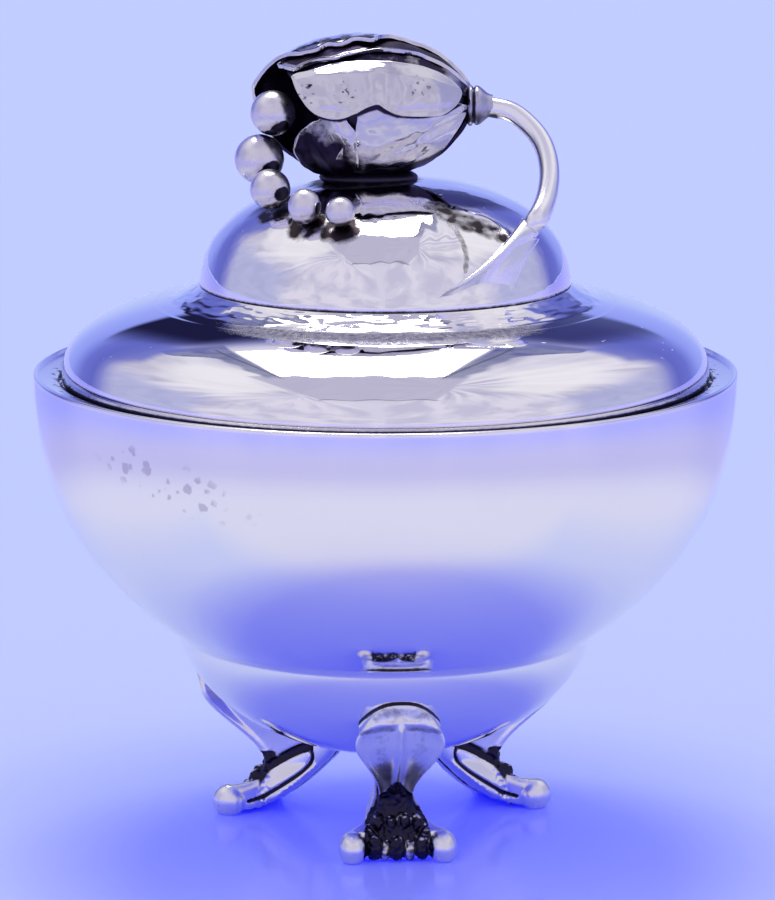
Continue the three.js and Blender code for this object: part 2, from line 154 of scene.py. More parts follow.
class Finish:
    # The look of one surface, built up from shader nodes.
    def __init__(self, owner):
        owner.use_nodes = True
        self.tree = owner.node_tree

    def join(self, value, socket):
        # Set a socket to a value, or link another node's output to it.
        value = getattr(value, "socket", value)
        if isinstance(value, bpy.types.NodeSocket):
            self.tree.links.new(value, socket)
        else:
            socket.default_value = (*value, 1) if socket.type == "RGBA" else value

    def add(self, kind, sockets=None, **settings):
        # A new node, with its settings and what goes into its sockets.
        node = self.tree.nodes.new("ShaderNode" + kind)
        for setting, value in settings.items():
            setattr(node, setting, value)
        for socket, value in (sockets or {}).items():
            self.join(value, node.inputs[socket])
        return node

    def number(self, operation, *values):
        # The result of a sum.
        return self.add("Math", dict(enumerate(values)), operation=operation).outputs[0]

    def length(self, vector):
        return self.add("VectorMath", {0: vector}, operation="LENGTH").outputs["Value"]

    def clouds(self, vector, scale, detail=2.0, distortion=0.0):
        # Cloudy noise.
        return self.add("TexNoise", {"Vector": vector, "Scale": scale, "Detail": detail, "Distortion": distortion})

    def grade(self, value, low, high, to=(0.0, 1.0), **settings):
        # A value between low and high, led evenly over to another range.
        sockets = {"Value": value, "From Min": low, "From Max": high, "To Min": to[0], "To Max": to[1]}
        return self.add("MapRange", sockets, **settings).outputs["Result"]

    def mixed(self, share, first, second):
        # One colour or value laid over another by a share.
        kind = "FLOAT" if isinstance(second, float) else "RGBA"
        return self.add("Mix", {"Factor": share, "A": first, "B": second}, data_type=kind).outputs["Result"]


def silver(name, tone, gloss, haze, scratch=0.04, scale=60.0, oxide_and_painted_shade=False, dark=(0.03, 0.026, 0.05), marks=None):
    # Polished silver: slight warm and cool drift in the tone, rubbed patches, hair scratches, and where the
    # piece carries a dark share, oxide in its recesses in some places and painted shade in others. Marks may lie over
    # it.
    material = bpy.data.materials.new(name)
    finish = Finish(material)
    place = finish.add("TexCoord").outputs["Object"]
    cloud = finish.clouds(place, scale, 4).outputs["Fac"]
    colour = finish.mixed(cloud, tuple(c * tone_drift for c in tone), tone)
    rough = finish.grade(cloud, rubbed_from, rubbed_to, (gloss, gloss + haze))
    drawn_out = finish.add("Mapping", {"Vector": place, "Scale": hair_scale, "Rotation": hair_turn})
    hair = finish.clouds(drawn_out.outputs["Vector"], 1.0, 3).outputs["Fac"]
    bump = finish.add("Bump", {"Strength": scratch, "Distance": hair_depth, "Height": hair})
    if oxide_and_painted_shade:
        # The dark share: oxide in some places, painted shade in others.
        worn = finish.add("Attribute", attribute_name="oxide_and_painted_shade").outputs["Fac"]
        grain = finish.clouds(place, grain_scale, 3).outputs["Fac"]
        mask = finish.grade(finish.number("MULTIPLY_ADD", grain, 0.5, worn), 0.5, 1.0)
        colour = finish.mixed(mask, colour, dark)
        rough = finish.mixed(mask, rough, oxide_and_shade_gloss)
    if marks:
        colour, rough = marks(finish, place, colour, rough)
    shader = finish.tree.nodes["Principled BSDF"]
    shader.inputs["Metallic"].default_value = 1.0
    for socket, output in (("Base Color", colour), ("Roughness", rough), ("Normal", bump.outputs["Normal"])):
        finish.join(output, shader.inputs[socket])
    return material


def finger_marks(finish, place, colour, rough):
    # Dull spots in one long patch: its middle, half sizes and turn, and the size and tone of a spot.
    patch_middle = (-27.9, -36.8, 55.4)
    patch_half = (13.0, 6.0, 3.4)
    patch_turn = (0.0, math.radians(14.4), math.radians(-34.7))
    spot_step = 1.75
    spot_wander = 0.0011
    spot_tone = (0.66, 0.62, 0.70)
    spot_gloss = 0.22
    patch_place = {"Vector": place, "Location": Vector(patch_middle) / 1000, "Rotation": patch_turn,
                   "Scale": Vector(patch_half) / 1000}
    patch = finish.add("Mapping", patch_place, vector_type="TEXTURE")
    within = finish.grade(finish.length(patch.outputs["Vector"]), 1.15, 0.75)
    wander = finish.clouds(place, 900).outputs["Color"]
    shaken = finish.add("VectorMath", {0: wander, 1: (spot_wander,) * 3, 2: place}, operation="MULTIPLY_ADD")
    ragged = shaken.outputs["Vector"]
    spots = finish.add("TexVoronoi", {"Vector": ragged, "Scale": 1000 / spot_step, "Randomness": 0.85})
    chance = finish.add("SeparateColor", {"Color": spots.outputs["Color"]}).outputs["Red"]
    spot = finish.grade(finish.number("MULTIPLY_ADD", chance, -0.28, spots.outputs["Distance"]), 0.24, 0.12)
    marked = finish.number("MULTIPLY", spot, within)
    return finish.mixed(marked, colour, spot_tone), finish.mixed(marked, rough, spot_gloss)


bowl_outside = np.vstack([bend(bowl_outline_lower, 60), bend(bowl_outline_upper, 110)[1:]])
wall = np.interp(bowl_outside[:, 1], [30.0, 58.0, rim_height], [bowl_sheet, bowl_sheet, rim_sheet])
bowl_inside = offset(bowl_outside, -wall)
rim_out, rim_in = bowl_outside[-1], bowl_inside[-1]
bowl_profile = np.vstack([bowl_outside[:-1], rim_out - (0.0, 0.25),
                          lip(rim_out - (0.02, 0.12), rim_in - (0.0, 0.12), 0.45), bowl_inside[::-1]])
bowl_profile[:, 1] = np.minimum(bowl_profile[:, 1], rim_height)
bowl_points, bowl_faces = spin(bowl_profile, bowl_sides)
bowl_points = planished(bowl_points, 21.0, 0.03, 3.0)
lay("bowl_sheet", bowl_points, bowl_faces, "bowl", "polished_silver", ["bowl_body"],
    silver("polished silver bowl", (0.94, 0.925, 0.945), gloss=0.04, haze=0.035, marks=finger_marks))

# Bearer ring: a strip of silver turned to a slope with a narrow seat, soldered inside the rim.
# Its sloping top shows as a band between the rim and the lid. Beside the lid its edge is painted dark as the shade
# in the gap, deepest at the front, and specks of tarnish lie near that edge.
ring_outer = 47.5
ring_top = 63.2
ring_under = 60.7
slope_foot = 44.6
slope_low = (slope_foot + 0.15, 62.95)
seat_inner = 42.8
seat_height = 61.9
ring_sides = 360


def smooth(low, high, value):
    # An eased step from 0 at low to 1 at high.
    t = np.clip((value - low) / (high - low), 0, 1)
    return t * t * (3 - 2 * t)


def speckle(points, size, seed):
    # An even-handed random value from about 0 to 1 at each point, in patches of a set size.
    return np.array([0.5 + 0.7 * noise.noise(Vector(p) / size + Vector((seed, seed, 0))) for p in points])


def darken(piece, values):
    # The share of dark colour at each point of a piece: oxide and dark solder in some places, painted shade in others.
    layer = piece.data.attributes.new("oxide_and_painted_shade", "FLOAT", "POINT")
    layer.data.foreach_set("value", np.clip(values, 0, 1).astype(np.float32))


ring_slope = np.linspace(0, 1, 12)[1:, None] * ((ring_outer, ring_top) - np.array(slope_low)) + slope_low
ring_seat = [(seat_inner, ring_under + 0.1), (seat_inner, seat_height - 0.15), (seat_inner + 0.15, seat_height),
             (slope_foot - 0.1, seat_height), (slope_foot, seat_height + 0.1), (slope_foot, 62.8), slope_low]
ring_profile = np.vstack([ring_seat, ring_slope, [(ring_outer, ring_under), (seat_inner + 0.1, ring_under)]])
ring_points, ring_faces = spin(ring_profile[::-1], ring_sides, closed=True)
ring = lay("bearer_ring", ring_points, ring_faces, "bowl", "inner_silver", ["lid_seat_ring"],
           silver("bearer ring silver", (0.9, 0.89, 0.93), gloss=0.12, haze=0.08, oxide_and_painted_shade=True))
ring_r = np.hypot(ring_points[:, 0], ring_points[:, 1])
# Painted shade in the gap beside the lid, deepest at the front; the specks are tarnish.
gap_shade_front = 0.25 + 0.75 * smooth(-4.0, -15.0, ring_points[:, 1])
ring_specks = 0.75 * smooth(0.45, 0.8, speckle(ring_points, 0.9, 4.0)) * smooth(46.6, 45.2, ring_r)
darken(ring, gap_shade_front * smooth(45.0, 44.7, ring_r) + ring_specks)

# Feet: three castings from one pattern. Each has a fluted leaf with a middle rib, a narrow ankle, and two side
# walls that end in round knobs, with a groove along each wall. The knuckles and toes between them are blackened.
# Shade is painted under the leaf's edge, in the flutes and along the crease under the cap, and painted shadow lies with
# dark solder along the joint with the bowl.
foot_angles = {"foot_front": -85.5, "foot_left": 154.5, "foot_right": 34.5}
leaf_front = 27.2
leaf_top = 27.2
leaf_rows = [(4.1, -0.2, 0.1), (4.25, -0.15, 1.3), (4.7, -0.1, 2.5), (5.4, 0.0, 3.45), (6.4, 0.15, 4.4),
             (7.7, 0.3, 5.25), (9.4, 0.8, 5.95), (10.9, 1.3, 5.85), (12.8, 2.6, 4.8), (14.8, 4.7, 3.6),
             (16.5, 6.7, 2.8), (18.3, 8.4, 2.35), (20.2, 9.5, 2.2), (24.0, 10.2, 2.2)]
web_back = [(2.9, 14.6), (3.6, 13.8), (6.4, 11.2), (11.0, 8.8), (12.0, 9.5), (13.3, 12.5), (14.9, 16.0), (16.7, 19.0),
            (18.8, 22.0), (20.0, 23.0), (23.4, 25.6)]
web_half = 2.0
wall_lower = [(21.4, 0.35), (19.6, 0.4), (17.9, 0.65), (14.6, 2.4), (11.6, 4.8), (9.4, 6.9), (7.3, 9.2), (6.3, 12.5)]
wall_upper = [(20.9, 4.1), (19.2, 4.35), (17.9, 4.9), (16.8, 6.2), (14.4, 7.9), (12.0, 9.4), (10.6, 10.6), (9.6, 13.0)]
wall_middle = [(6.0, 1.15), (12.1, 1.3), (14.3, 1.6), (17.0, 2.5), (19.4, 4.6), (21.3, 6.1)]
wall_half = [(6.0, 1.25), (14.3, 1.25), (17.6, 1.5), (19.2, 1.85), (21.3, 1.85)]
knob = (21.3, 6.1, 1.85)
knob_size = (2.4, 1.95, 2.3)
paw_rows = [(11.0, 0.1, 18.7), (10.2, 0.55, 18.9), (9.2, 1.2, 18.8), (8.0, 2.2, 18.5), (6.6, 2.9, 18.5),
            (4.7, 3.7, 19.7), (3.0, 4.1, 20.6), (1.2, 4.2, 21.0), (0.4, 4.1, 20.8)]
knuckles = [((17.3, -1.4, 6.9), (1.1, 0.9, 1.1)), ((17.3, 1.2, 6.6), (1.1, 0.85, 1.0)),
            ((18.1, 0.05, 8.6), (0.7, 0.4, 1.5)), ((18.6, -2.55, 4.7), (1.25, 0.95, 1.3)),
            ((18.9, -0.8, 4.3), (1.35, 0.9, 1.5)), ((18.9, 1.0, 4.8), (1.25, 0.8, 1.3)),
            ((18.6, 2.75, 4.4), (1.25, 0.9, 1.4))]
toes = [((20.9, -3.05, 1.85), (1.5, 1.2, 1.75)), ((21.2, -0.2, 1.8), (1.55, 1.2, 1.7)),
        ((20.9, 3.25, 1.85), (1.5, 1.15, 1.75))]
toe_gaps = [((21.1, -1.65, 1.35), (1.15, 0.8, 1.3)), ((21.1, 1.6, 1.35), (1.15, 0.8, 1.3))]
groove = [(18.4, 1.85), (17.4, 2.2), (16.0, 3.1), (13.4, 4.9), (11.3, 6.6), (10.2, 8.1), (10.3, 9.6)]
groove_half = 0.24
groove_depth = 0.4
recess = [(10.6, 9.9), (12.2, 9.35), (14.3, 8.2), (16.9, 6.5)]
recess_half = 0.62
recess_depth = 0.55
sand_depth = 0.34
mould_grain = 0.17
mould_rounds = 3
foot_sink = 0.45


def evenly(line, count, closed=False):
    # A line stepped anew, with even steps.
    if closed:
        line = np.vstack([line, line[:1]])
    run = np.concatenate([[0], np.cumsum(np.linalg.norm(np.diff(line, axis=0), axis=1))])
    even = np.linspace(0, run[-1], count, endpoint=not closed)
    return np.stack([np.interp(even, run, column) for column in line.T], 1)


def flowing(places, count):
    # A smooth path through places, evenly stepped.
    p = np.array(places, float)
    p = np.vstack([2 * p[0] - p[1], p, 2 * p[-1] - p[-2]])
    knots = np.concatenate([[0], np.cumsum(np.sqrt(np.linalg.norm(np.diff(p, axis=0), axis=1)))])
    out = []
    for i in range(1, len(p) - 2):
        k, near = knots[i - 1:i + 3], p[i - 1:i + 3]
        t = np.linspace(k[1], k[2], 40, endpoint=False)[:, None]

        def blend(pair, start, end):
            return (end - t) / (end - start) * pair[0] + (t - start) / (end - start) * pair[1]

        first = [blend(near[j:j + 2], k[j], k[j + 1]) for j in range(3)]
        second = [blend(first[j:j + 2], k[j], k[j + 2]) for j in range(2)]
        out.append(blend(second, k[1], k[2]))
    return evenly(np.vstack(out + [p[-2][None, :]]), count)


def grid_faces(rows, columns, start=0):
    # Four-sided faces between rings of points.
    faces = []
    for i in range(rows - 1):
        for j in range(columns):
            n = (j + 1) % columns
            low, high = start + i * columns, start + (i + 1) * columns
            faces.append([low + j, low + n, high + n, high + j])
    return faces


def loft(rings):
    # A closed body through rings of points, with a flat end on each.
    columns = len(rings[0])
    points = [p for ring in rings for p in ring]
    faces = grid_faces(len(rings), columns)
    faces.append(list(range(columns))[::-1])
    faces.append(list(range(len(points) - columns, len(points))))
    return points, faces


def ball(middle, size, sides=32, rows=20):
    # An egg-shaped ball, turned from its top down and closed at both poles.
    polar = math.pi * np.arange(rows + 1) / rows
    points, faces = spin(np.stack([np.sin(polar), np.cos(polar)], 1), sides)
    return points * size + middle, [face[::-1] for face in faces]


def leaf_shape():
    # The fluted fan and the ankle below it, with a web behind that runs back into the bowl. Round the top of
    # the fan the solder spreads a little on the bowl.
    rows, backs = flowing(leaf_rows, 300), flowing(web_back, 200)
    rings = []
    for down in leaf_rows[0][0] + (leaf_rows[-1][0] - leaf_rows[0][0]) * np.linspace(0, 1, 130) ** 1.7:
        z = leaf_top - down
        inset = np.interp(down, rows[:, 0], rows[:, 1])
        half = max(np.interp(down, rows[:, 0], rows[:, 2]), 0.1)
        bowl_at = np.interp(z, bowl_outside[:, 1], bowl_outside[:, 0])
        fluted = smooth(20.6, 19.6, z) * smooth(8.0, 11.5, z)
        ring = []
        for share in np.linspace(-1, 1, 57):
            y = half * share
            rib = 0.75 * math.exp(-(y / 0.5) ** 2)
            border = 0.3 * math.exp(-((half * 0.92 - abs(y)) / 0.4) ** 2)
            flute = -0.6 * math.sin(math.pi * min(abs(share) / 0.9, 1)) ** 1.3
            roll_line = 20.4 - 0.12 * abs(y) + 0.3 * math.exp(-(y / 1.2) ** 2)
            roll = 0.32 * math.exp(-((z - roll_line) / 0.5) ** 2)
            ring.append((leaf_front - inset - y * y / 52 + fluted * (rib + border + flute) + roll, y, z))
        edge, back = ring[0][0], np.interp(z, backs[:, 0], backs[:, 1])
        inner = min(half, web_half)
        side = [(edge - 0.7, half, z), (edge - 1.7, half * 0.5 + inner * 0.5, z), (back, inner, z)]
        spread = smooth(18.0, 19.6, z)
        if spread > 0:
            skirt = [(bowl_at + 0.3, half + 0.05, z), (bowl_at + 0.12, half + 0.35, z), (bowl_at - 0.8, half + 0.35, z)]
            side = [tuple((1 - spread) * np.array(a) + spread * np.array(b)) for a, b in zip(side, skirt)]
        ring += side + [(a, -b, c) for a, b, c in side[::-1]]
        rings.append(ring)
    return loft(rings)


def wall_shape(side):
    # A side wall: a band that swings down and outwards from the web to the knob.
    rings = []
    for a, b in zip(flowing(wall_lower, 60), flowing(wall_upper, 60)):
        ring = []
        for turn in np.linspace(0, 2 * math.pi, 28, endpoint=False):
            up, out = [math.copysign(abs(way) ** 0.6, way) for way in (math.sin(turn), math.cos(turn))]
            x, z = (a + b) / 2 + (b - a) / 2 * up
            y = np.interp(x, *np.array(wall_middle).T) + np.interp(x, *np.array(wall_half).T) * out
            ring.append((x, side * y, z))
        rings.append(ring)
    return loft(rings)


def paw_shape():
    # The blackened mass between the walls, from a point at the ankle down to the toes.
    low = np.array(sorted(wall_lower, key=lambda spot: spot[1]))
    rings = []
    for z, half, front in flowing(paw_rows, 40):
        half, back = max(half, 0.1), np.interp(z, low[:, 1], low[:, 0]) + 0.5
        ring = [(front - 0.5 * half * share ** 2, half * share, z) for share in np.linspace(-1, 1, 13)]
        rings.append(ring + [(back, half, z), (back, -half, z)])
    return loft(rings)


def merged(shapes):
    # Several shapes put together in one list of points and one of faces.
    points, faces = [], []
    for some, theirs in shapes:
        faces += [[v + len(points) for v in f] for f in theirs]
        points += list(some)
    return points, faces


def cast(points, faces):
    # Several overlapping closed shapes run together into one skin, as metal in a mould does.
    mesh = bpy.data.meshes.new("mould")
    mesh.from_pydata([tuple(np.array(p) / 1000) for p in points], [], faces)
    mould = bpy.data.objects.new("mould", mesh)
    bpy.context.scene.collection.objects.link(mould)
    skin = mould.modifiers.new("skin", "REMESH")
    skin.mode = "VOXEL"
    skin.voxel_size = mould_grain / 1000
    even = mould.modifiers.new("even", "SMOOTH")
    even.iterations = mould_rounds
    even.factor = 0.5
    bpy.context.view_layer.update()
    done = bpy.data.meshes.new_from_object(mould.evaluated_get(bpy.context.evaluated_depsgraph_get()))
    places, normals = np.zeros((2, len(done.vertices) * 3))
    done.vertices.foreach_get("co", places)
    done.vertices.foreach_get("normal", normals)
    shapes = [list(p.vertices) for p in done.polygons]
    bpy.data.objects.remove(mould)
    return places.reshape(-1, 3) * 1000, normals.reshape(-1, 3), shapes


def line_distance(points, line):
    # How far each flat point is from a bent line.
    best = np.full(len(points), 1e9)
    for a, b in zip(line, line[1:]):
        a, b = np.array(a, float), np.array(b, float)
        t = np.clip(((points - a) @ (b - a)) / ((b - a) @ (b - a)), 0, 1)
        best = np.minimum(best, np.linalg.norm(points - (a + t[:, None] * (b - a)), axis=1))
    return best


foot_parts = [leaf_shape(), wall_shape(1), wall_shape(-1), paw_shape()]
foot_parts += [ball((knob[0], side * knob[1], knob[2]), knob_size) for side in (-1, 1)]
foot_parts += [ball(*lump) for lump in knuckles + toes + toe_gaps]
foot_points, foot_normals, foot_faces = cast(*merged(foot_parts))
x, y, z = foot_points.T
side_view = np.stack([x, z], 1)
side_facing = foot_normals[:, 1] * np.sign(y)
outer_side = smooth(0.3, 0.7, side_facing) * smooth(8.0, 9.2, x)
cut = smooth(groove_half * 1.5, groove_half * 0.6, line_distance(side_view, flowing(groove, 60))) * outer_side
# Painted shade under the leaf's edge, in its recess.
shade_under_leaf = smooth(recess_half * 1.15, recess_half * 0.7, line_distance(side_view, flowing(recess, 40)))
shade_under_leaf *= smooth(0.1, 0.5, side_facing)
foot_points = foot_points - foot_normals * (groove_depth * cut + recess_depth * shade_under_leaf)[:, None]
paw = np.array(sorted(paw_rows))
paw_reach = np.interp(z, paw[:, 0], paw[:, 1] + 0.1) + 0.35 * smooth(10.2, 8.0, z)
paw_front = np.interp(z, paw[:, 0], paw[:, 2])
blackened = smooth(0.3, -0.1, np.abs(y) - paw_reach) * smooth(-3.2, -2.2, x - paw_front) * smooth(11.2, 10.9, z)
rough_cast = speckle(foot_points, 0.55, 3.0)
sanded = smooth(0.25, -0.3, np.abs(y) - paw_reach) * smooth(11.0, 10.0, z) * smooth(15.5, 16.5, x)
foot_points = foot_points + foot_normals * (sand_depth * (rough_cast - 0.5) * sanded)[:, None]
worn = smooth(0.35, 0.8, foot_normals[:, 2]) * smooth(18.0, 19.0, x) * 0.6 * smooth(0.35, 0.75, rough_cast)
for middle, size in toe_gaps:
    near = np.linalg.norm((foot_points - middle) / (np.array(size) * 1.05), axis=1)
    worn = np.maximum(worn, 0.65 * smooth(1.15, 0.85, near))
blackened *= 1 - worn
inner_side = smooth(0.2, 0.6, -side_facing) * smooth(18.5, 17.0, x) * smooth(10.0, 8.5, z)
leaf_down, leaf_inset, leaf_half = np.array(leaf_rows).T
leaf_share = np.abs(y) / np.maximum(np.interp(leaf_top - z, leaf_down, leaf_half), 0.1)
leaf_skin = x - leaf_front + np.interp(leaf_top - z, leaf_down, leaf_inset)
leaf_face = smooth(0.2, 0.5, foot_normals[:, 0]) * smooth(10.5, 12.0, z) * smooth(-4.0, -3.0, leaf_skin)
# Painted shade in the flutes.
flute_shade = np.sin(np.pi * np.clip(leaf_share / 0.9, 0, 1)) ** 1.5 * smooth(20.6, 19.4, z) * leaf_face
cap_stain = (0.16 + 0.35 * speckle(foot_points, 1.4, 8.0)) * smooth(20.2, 20.8, z) * leaf_face * smooth(23.3, 22.4, z)
# Painted shade along the crease under the rolled cap.
cap_crease_shade = smooth(0.5, 0.2, np.abs(z - 19.75 + 0.12 * np.abs(y))) * leaf_face * smooth(0.05, 0.2, leaf_share)
foot_oxide_and_shade = np.maximum.reduce([blackened, cut * 1.2, shade_under_leaf, inner_side * 0.8, 0.3 * flute_shade, cap_stain,
                                0.48 * cap_crease_shade])
outline_out = outward(bowl_outside)
foot_r = np.hypot(foot_points[:, 0], foot_points[:, 1])
spot = np.stack([foot_r, foot_points[:, 2]], 1)
nearest = np.argmin(((spot[:, None, :] - bowl_outside[None, :120, :]) ** 2).sum(2), axis=1)
depth = ((spot - bowl_outside[nearest]) * outline_out[nearest]).sum(1)
sunk = depth < -foot_sink
target = bowl_outside[nearest] - outline_out[nearest] * foot_sink
foot_points[sunk, :2] *= (target[:, 0] / np.maximum(foot_r, 1e-6))[sunk, None]
foot_points[sunk, 2] = target[sunk, 1]
# The joint with the bowl: dark solder, with painted shadow along it.
solder_line_and_shadow = smooth(0.5, 0.3, np.abs(depth)) * smooth(11.0, 12.0, foot_points[:, 2])
foot_silver = silver("cast silver feet", (0.88, 0.865, 0.895), gloss=0.23, haze=0.12, oxide_and_painted_shade=True)
for name, angle in foot_angles.items():
    c, s = math.cos(math.radians(angle)), math.sin(math.radians(angle))
    turned = foot_points @ np.array([[c, s, 0], [-s, c, 0], [0, 0, 1]])
    turned[:, 2] = np.maximum(turned[:, 2], 0)
    foot = lay(name + "_casting", turned, foot_faces, "bowl", "cast_silver", [name], foot_silver)
    darken(foot, np.maximum(foot_oxide_and_shade, solder_line_and_shadow))

# Lid, lower dome: a shallow raised dome with a short upright edge, left almost flush with the rim.
# It is mirror polished and sweeps up to the foot of the upper dome. Its edge is painted black as the shade of the gap
# beside the ring.
lid_radius = 44.14
lid_edge = (62.2, 63.5)
lower_dome = [(lid_radius, lid_edge[1]), (lid_radius, 68.6), (38.976, 71.915), (25.3, 74.4)]
lower_hole = 23.2
lid_sheet = 0.9
foot_line = 75.5
sweep_start = 31.2
sweep_end = 25.35
sweep_ripple = 0.1


def waves(places, *layers):
    # Uneven waves over flat places. A layer has its share, its steps to a unit each way, and its seed.
    return np.array([sum(share * noise.noise(Vector((a * fine_a, b * fine_b, seed)))
                         for share, fine_a, fine_b, seed in layers) for a, b in places])


dome_part = bend(lower_dome, 110)
dome_part = dome_part[dome_part[:, 0] > sweep_start]
sweep_r = np.linspace(sweep_start, sweep_end, 60)
sweep_angle = 10.3 + 0.6 * (sweep_r - 25.3) + 13.5 * smooth(29.7, 28.8, sweep_r) + 7.0 * smooth(28.8, 25.5, sweep_r)
sweep_slope = np.tan(np.radians(sweep_angle))
sweep_rise = np.concatenate([[0], np.cumsum((sweep_slope[1:] + sweep_slope[:-1]) / 2 * -np.diff(sweep_r))])
sweep_low = dome_part[-1, 1]
sweep_part = np.stack([sweep_r, sweep_low + sweep_rise * (foot_line - sweep_low) / sweep_rise[-1]], 1)[1:]
lid_outside = np.vstack([[(lid_radius - 0.15, lid_edge[0]), (lid_radius, lid_edge[0] + 0.15), (lid_radius, 62.8),
                          (lid_radius, 63.15)],
                         dome_part, sweep_part, [(25.1, foot_line), (24.6, 74.75), (lower_hole + 0.1, 74.4)]])
lid_inside = offset(lid_outside[4:], -lid_sheet)
edge_inner = lid_radius - lid_sheet
lid_inside[0] = (edge_inner, lid_edge[1])
lid_profile = np.vstack([lid_outside, lid_inside[::-1],
                         [(edge_inner, lid_edge[0] + 0.1), (edge_inner + 0.1, lid_edge[0])]])
lid_points, lid_faces = spin(lid_profile, bowl_sides, closed=True)
lid_r = np.hypot(lid_points[:, 0], lid_points[:, 1])
lid_way = np.arctan2(lid_points[:, 1], lid_points[:, 0])
sweep_waves = waves(zip(lid_way, lid_r), (1, 7.0, 1 / 1.5, 3.0), (0.5, 16.0, 1 / 0.7, 9.0))
lid_points = planished(lid_points, 15.0, 0.035, 8.0)
on_sweep = smooth(30.0, 28.6, lid_r) * smooth(25.3, 25.8, lid_r) * (lid_points[:, 2] > 72.9)
lid_points[:, 2] += sweep_ripple * sweep_waves * on_sweep
lower = lay("lower_dome_sheet", lid_points, lid_faces, "lid", "polished_silver", ["lid_lower_dome"],
            silver("mirror polished lid", (0.945, 0.93, 0.945), gloss=0.015, haze=0.02, scratch=0.03, oxide_and_painted_shade=True,
                   dark=(0.05, 0.045, 0.12)))
x, y, z = lid_points.T
# Painted shade of the gap beside the ring, on the lid's upright edge, mostly at the front.
painted_edge_shade = 1.2 * smooth(63.5, 63.3, z) * (0.15 + 0.85 * smooth(-4.0, -15.0, y))
painted_edge_shade *= smooth(43.9, 44.05, np.hypot(x, y))
# A painted dark reflection lies as a soft band in front of the upper dome's foot.
band_radius = lid_r + 0.35 * sweep_waves
painted_reflection_band = 0.64 * smooth(33.9, 31.8, band_radius) * smooth(28.3, 29.8, band_radius) * smooth(28.0, 17.0, np.abs(x))
darken(lower, np.maximum(painted_edge_shade, painted_reflection_band * (y < 0) * (z > 71.3)))

# Lid, upper dome: a smaller and higher dome that stands on the lower one and is soldered round its foot.
# Planishing shows as slow waves and small facets. Round the beads, under the bud and beside the stem the dome is
# painted dark: patina in the beads' solder beds, and painted shade of the beads, the bud and the stem.
upper_dome = [(25.3, 74.7), (25.3, 86.0), (13.5, 90.0), (0.0, 90.0)]
upper_sheet = 0.8
upper_sides = 420
upper_rows = 150
facet_size = 1.15
facet_depth = 0.008
# Wide flat hammer marks: along, angle, size up the dome, size round it, depth.
flats = [(0.50, -88.0, 3.8, 5.6, 0.27), (0.44, -68.0, 2.2, 2.0, 0.14), (0.34, -70.0, 2.0, 2.2, 0.12),
         (0.5, -58.0, 1.6, 2.0, 0.14), (0.36, -128.0, 2.8, 3.0, 0.14)]
bead_seats = [(0.471, -107.8), (0.48, -123.5), (0.534, -149.2)]
# A patch of painted shade over the shoulder towards the stem: along, angle, size. A thin ribbon of painted shade runs
# down from it.
stem_shade_patch = [(0.60, -62, 2.0), (0.53, -59, 2.3), (0.47, -55, 2.3), (0.42, -49, 2.2), (0.37, -44, 1.8)]
ribbon = np.linspace(0.20, 0.48, 40)
upper_outside = bend(upper_dome, upper_rows)
upper_inside = offset(bend(upper_dome, 40), -upper_sheet)
upper_inside[0] = (upper_dome[0][0] - upper_sheet, upper_dome[0][1])
wall_part = upper_outside[upper_outside[:, 1] > foot_line + 0.35]
upper_foot = [(24.8, 74.5), (25.0, 75.0), (25.12, foot_line - 0.15), (25.26, foot_line + 0.08)]
upper_points, upper_faces = spin(np.vstack([upper_inside[::-1], upper_foot, wall_part]), upper_sides)
upper_points = planished(upper_points, 9.0, 0.1, 21.0)
facets = planished(upper_points, facet_size, facet_depth, 5.0) - upper_points
upper_points = upper_points + facets * smooth(75.6, 77.0, upper_points[:, 2])[:, None]


def over_dome(along, angle, height=0):
    # A place at a height over the upper dome: along runs from 0 at its foot to 1 at its crown.
    a, b, c, d = [np.array(h, float) for h in upper_dome]
    place = curve(upper_dome, along)
    way = 3 * (1 - along) ** 2 * (b - a) + 6 * (1 - along) * along * (c - b) + 3 * along * along * (d - c)
    r, z = place + unit(way)[::-1] * (height, -height)
    return np.array([r * math.cos(math.radians(angle)), r * math.sin(math.radians(angle)), z])


def around(points, spot, none, full):
    # A soft round patch: nothing at the first distance from its middle, and full at the second.
    return smooth(none, full, np.linalg.norm(points - spot, axis=1))


for along, angle, tall, broad, depth in flats:
    spot = over_dome(along, angle)
    out_way = over_dome(along, angle, 1) - spot
    round_way = unit(np.cross((0, 0, 1), out_way))
    up_way = np.cross(out_way, round_way)
    from_spot = upper_points - spot
    hollow = np.exp(-(from_spot @ up_way / tall) ** 2 - np.abs(from_spot @ round_way / broad) ** 4)
    upper_points = upper_points - out_way * (depth * hollow * (from_spot @ out_way > -6))[:, None]
upper = lay("upper_dome_sheet", upper_points, upper_faces, "lid", "polished_silver", ["lid_upper_dome"],
            silver("planished upper dome", (0.94, 0.925, 0.94), gloss=0.03, haze=0.03, oxide_and_painted_shade=True,
                   dark=(0.035, 0.025, 0.03)))
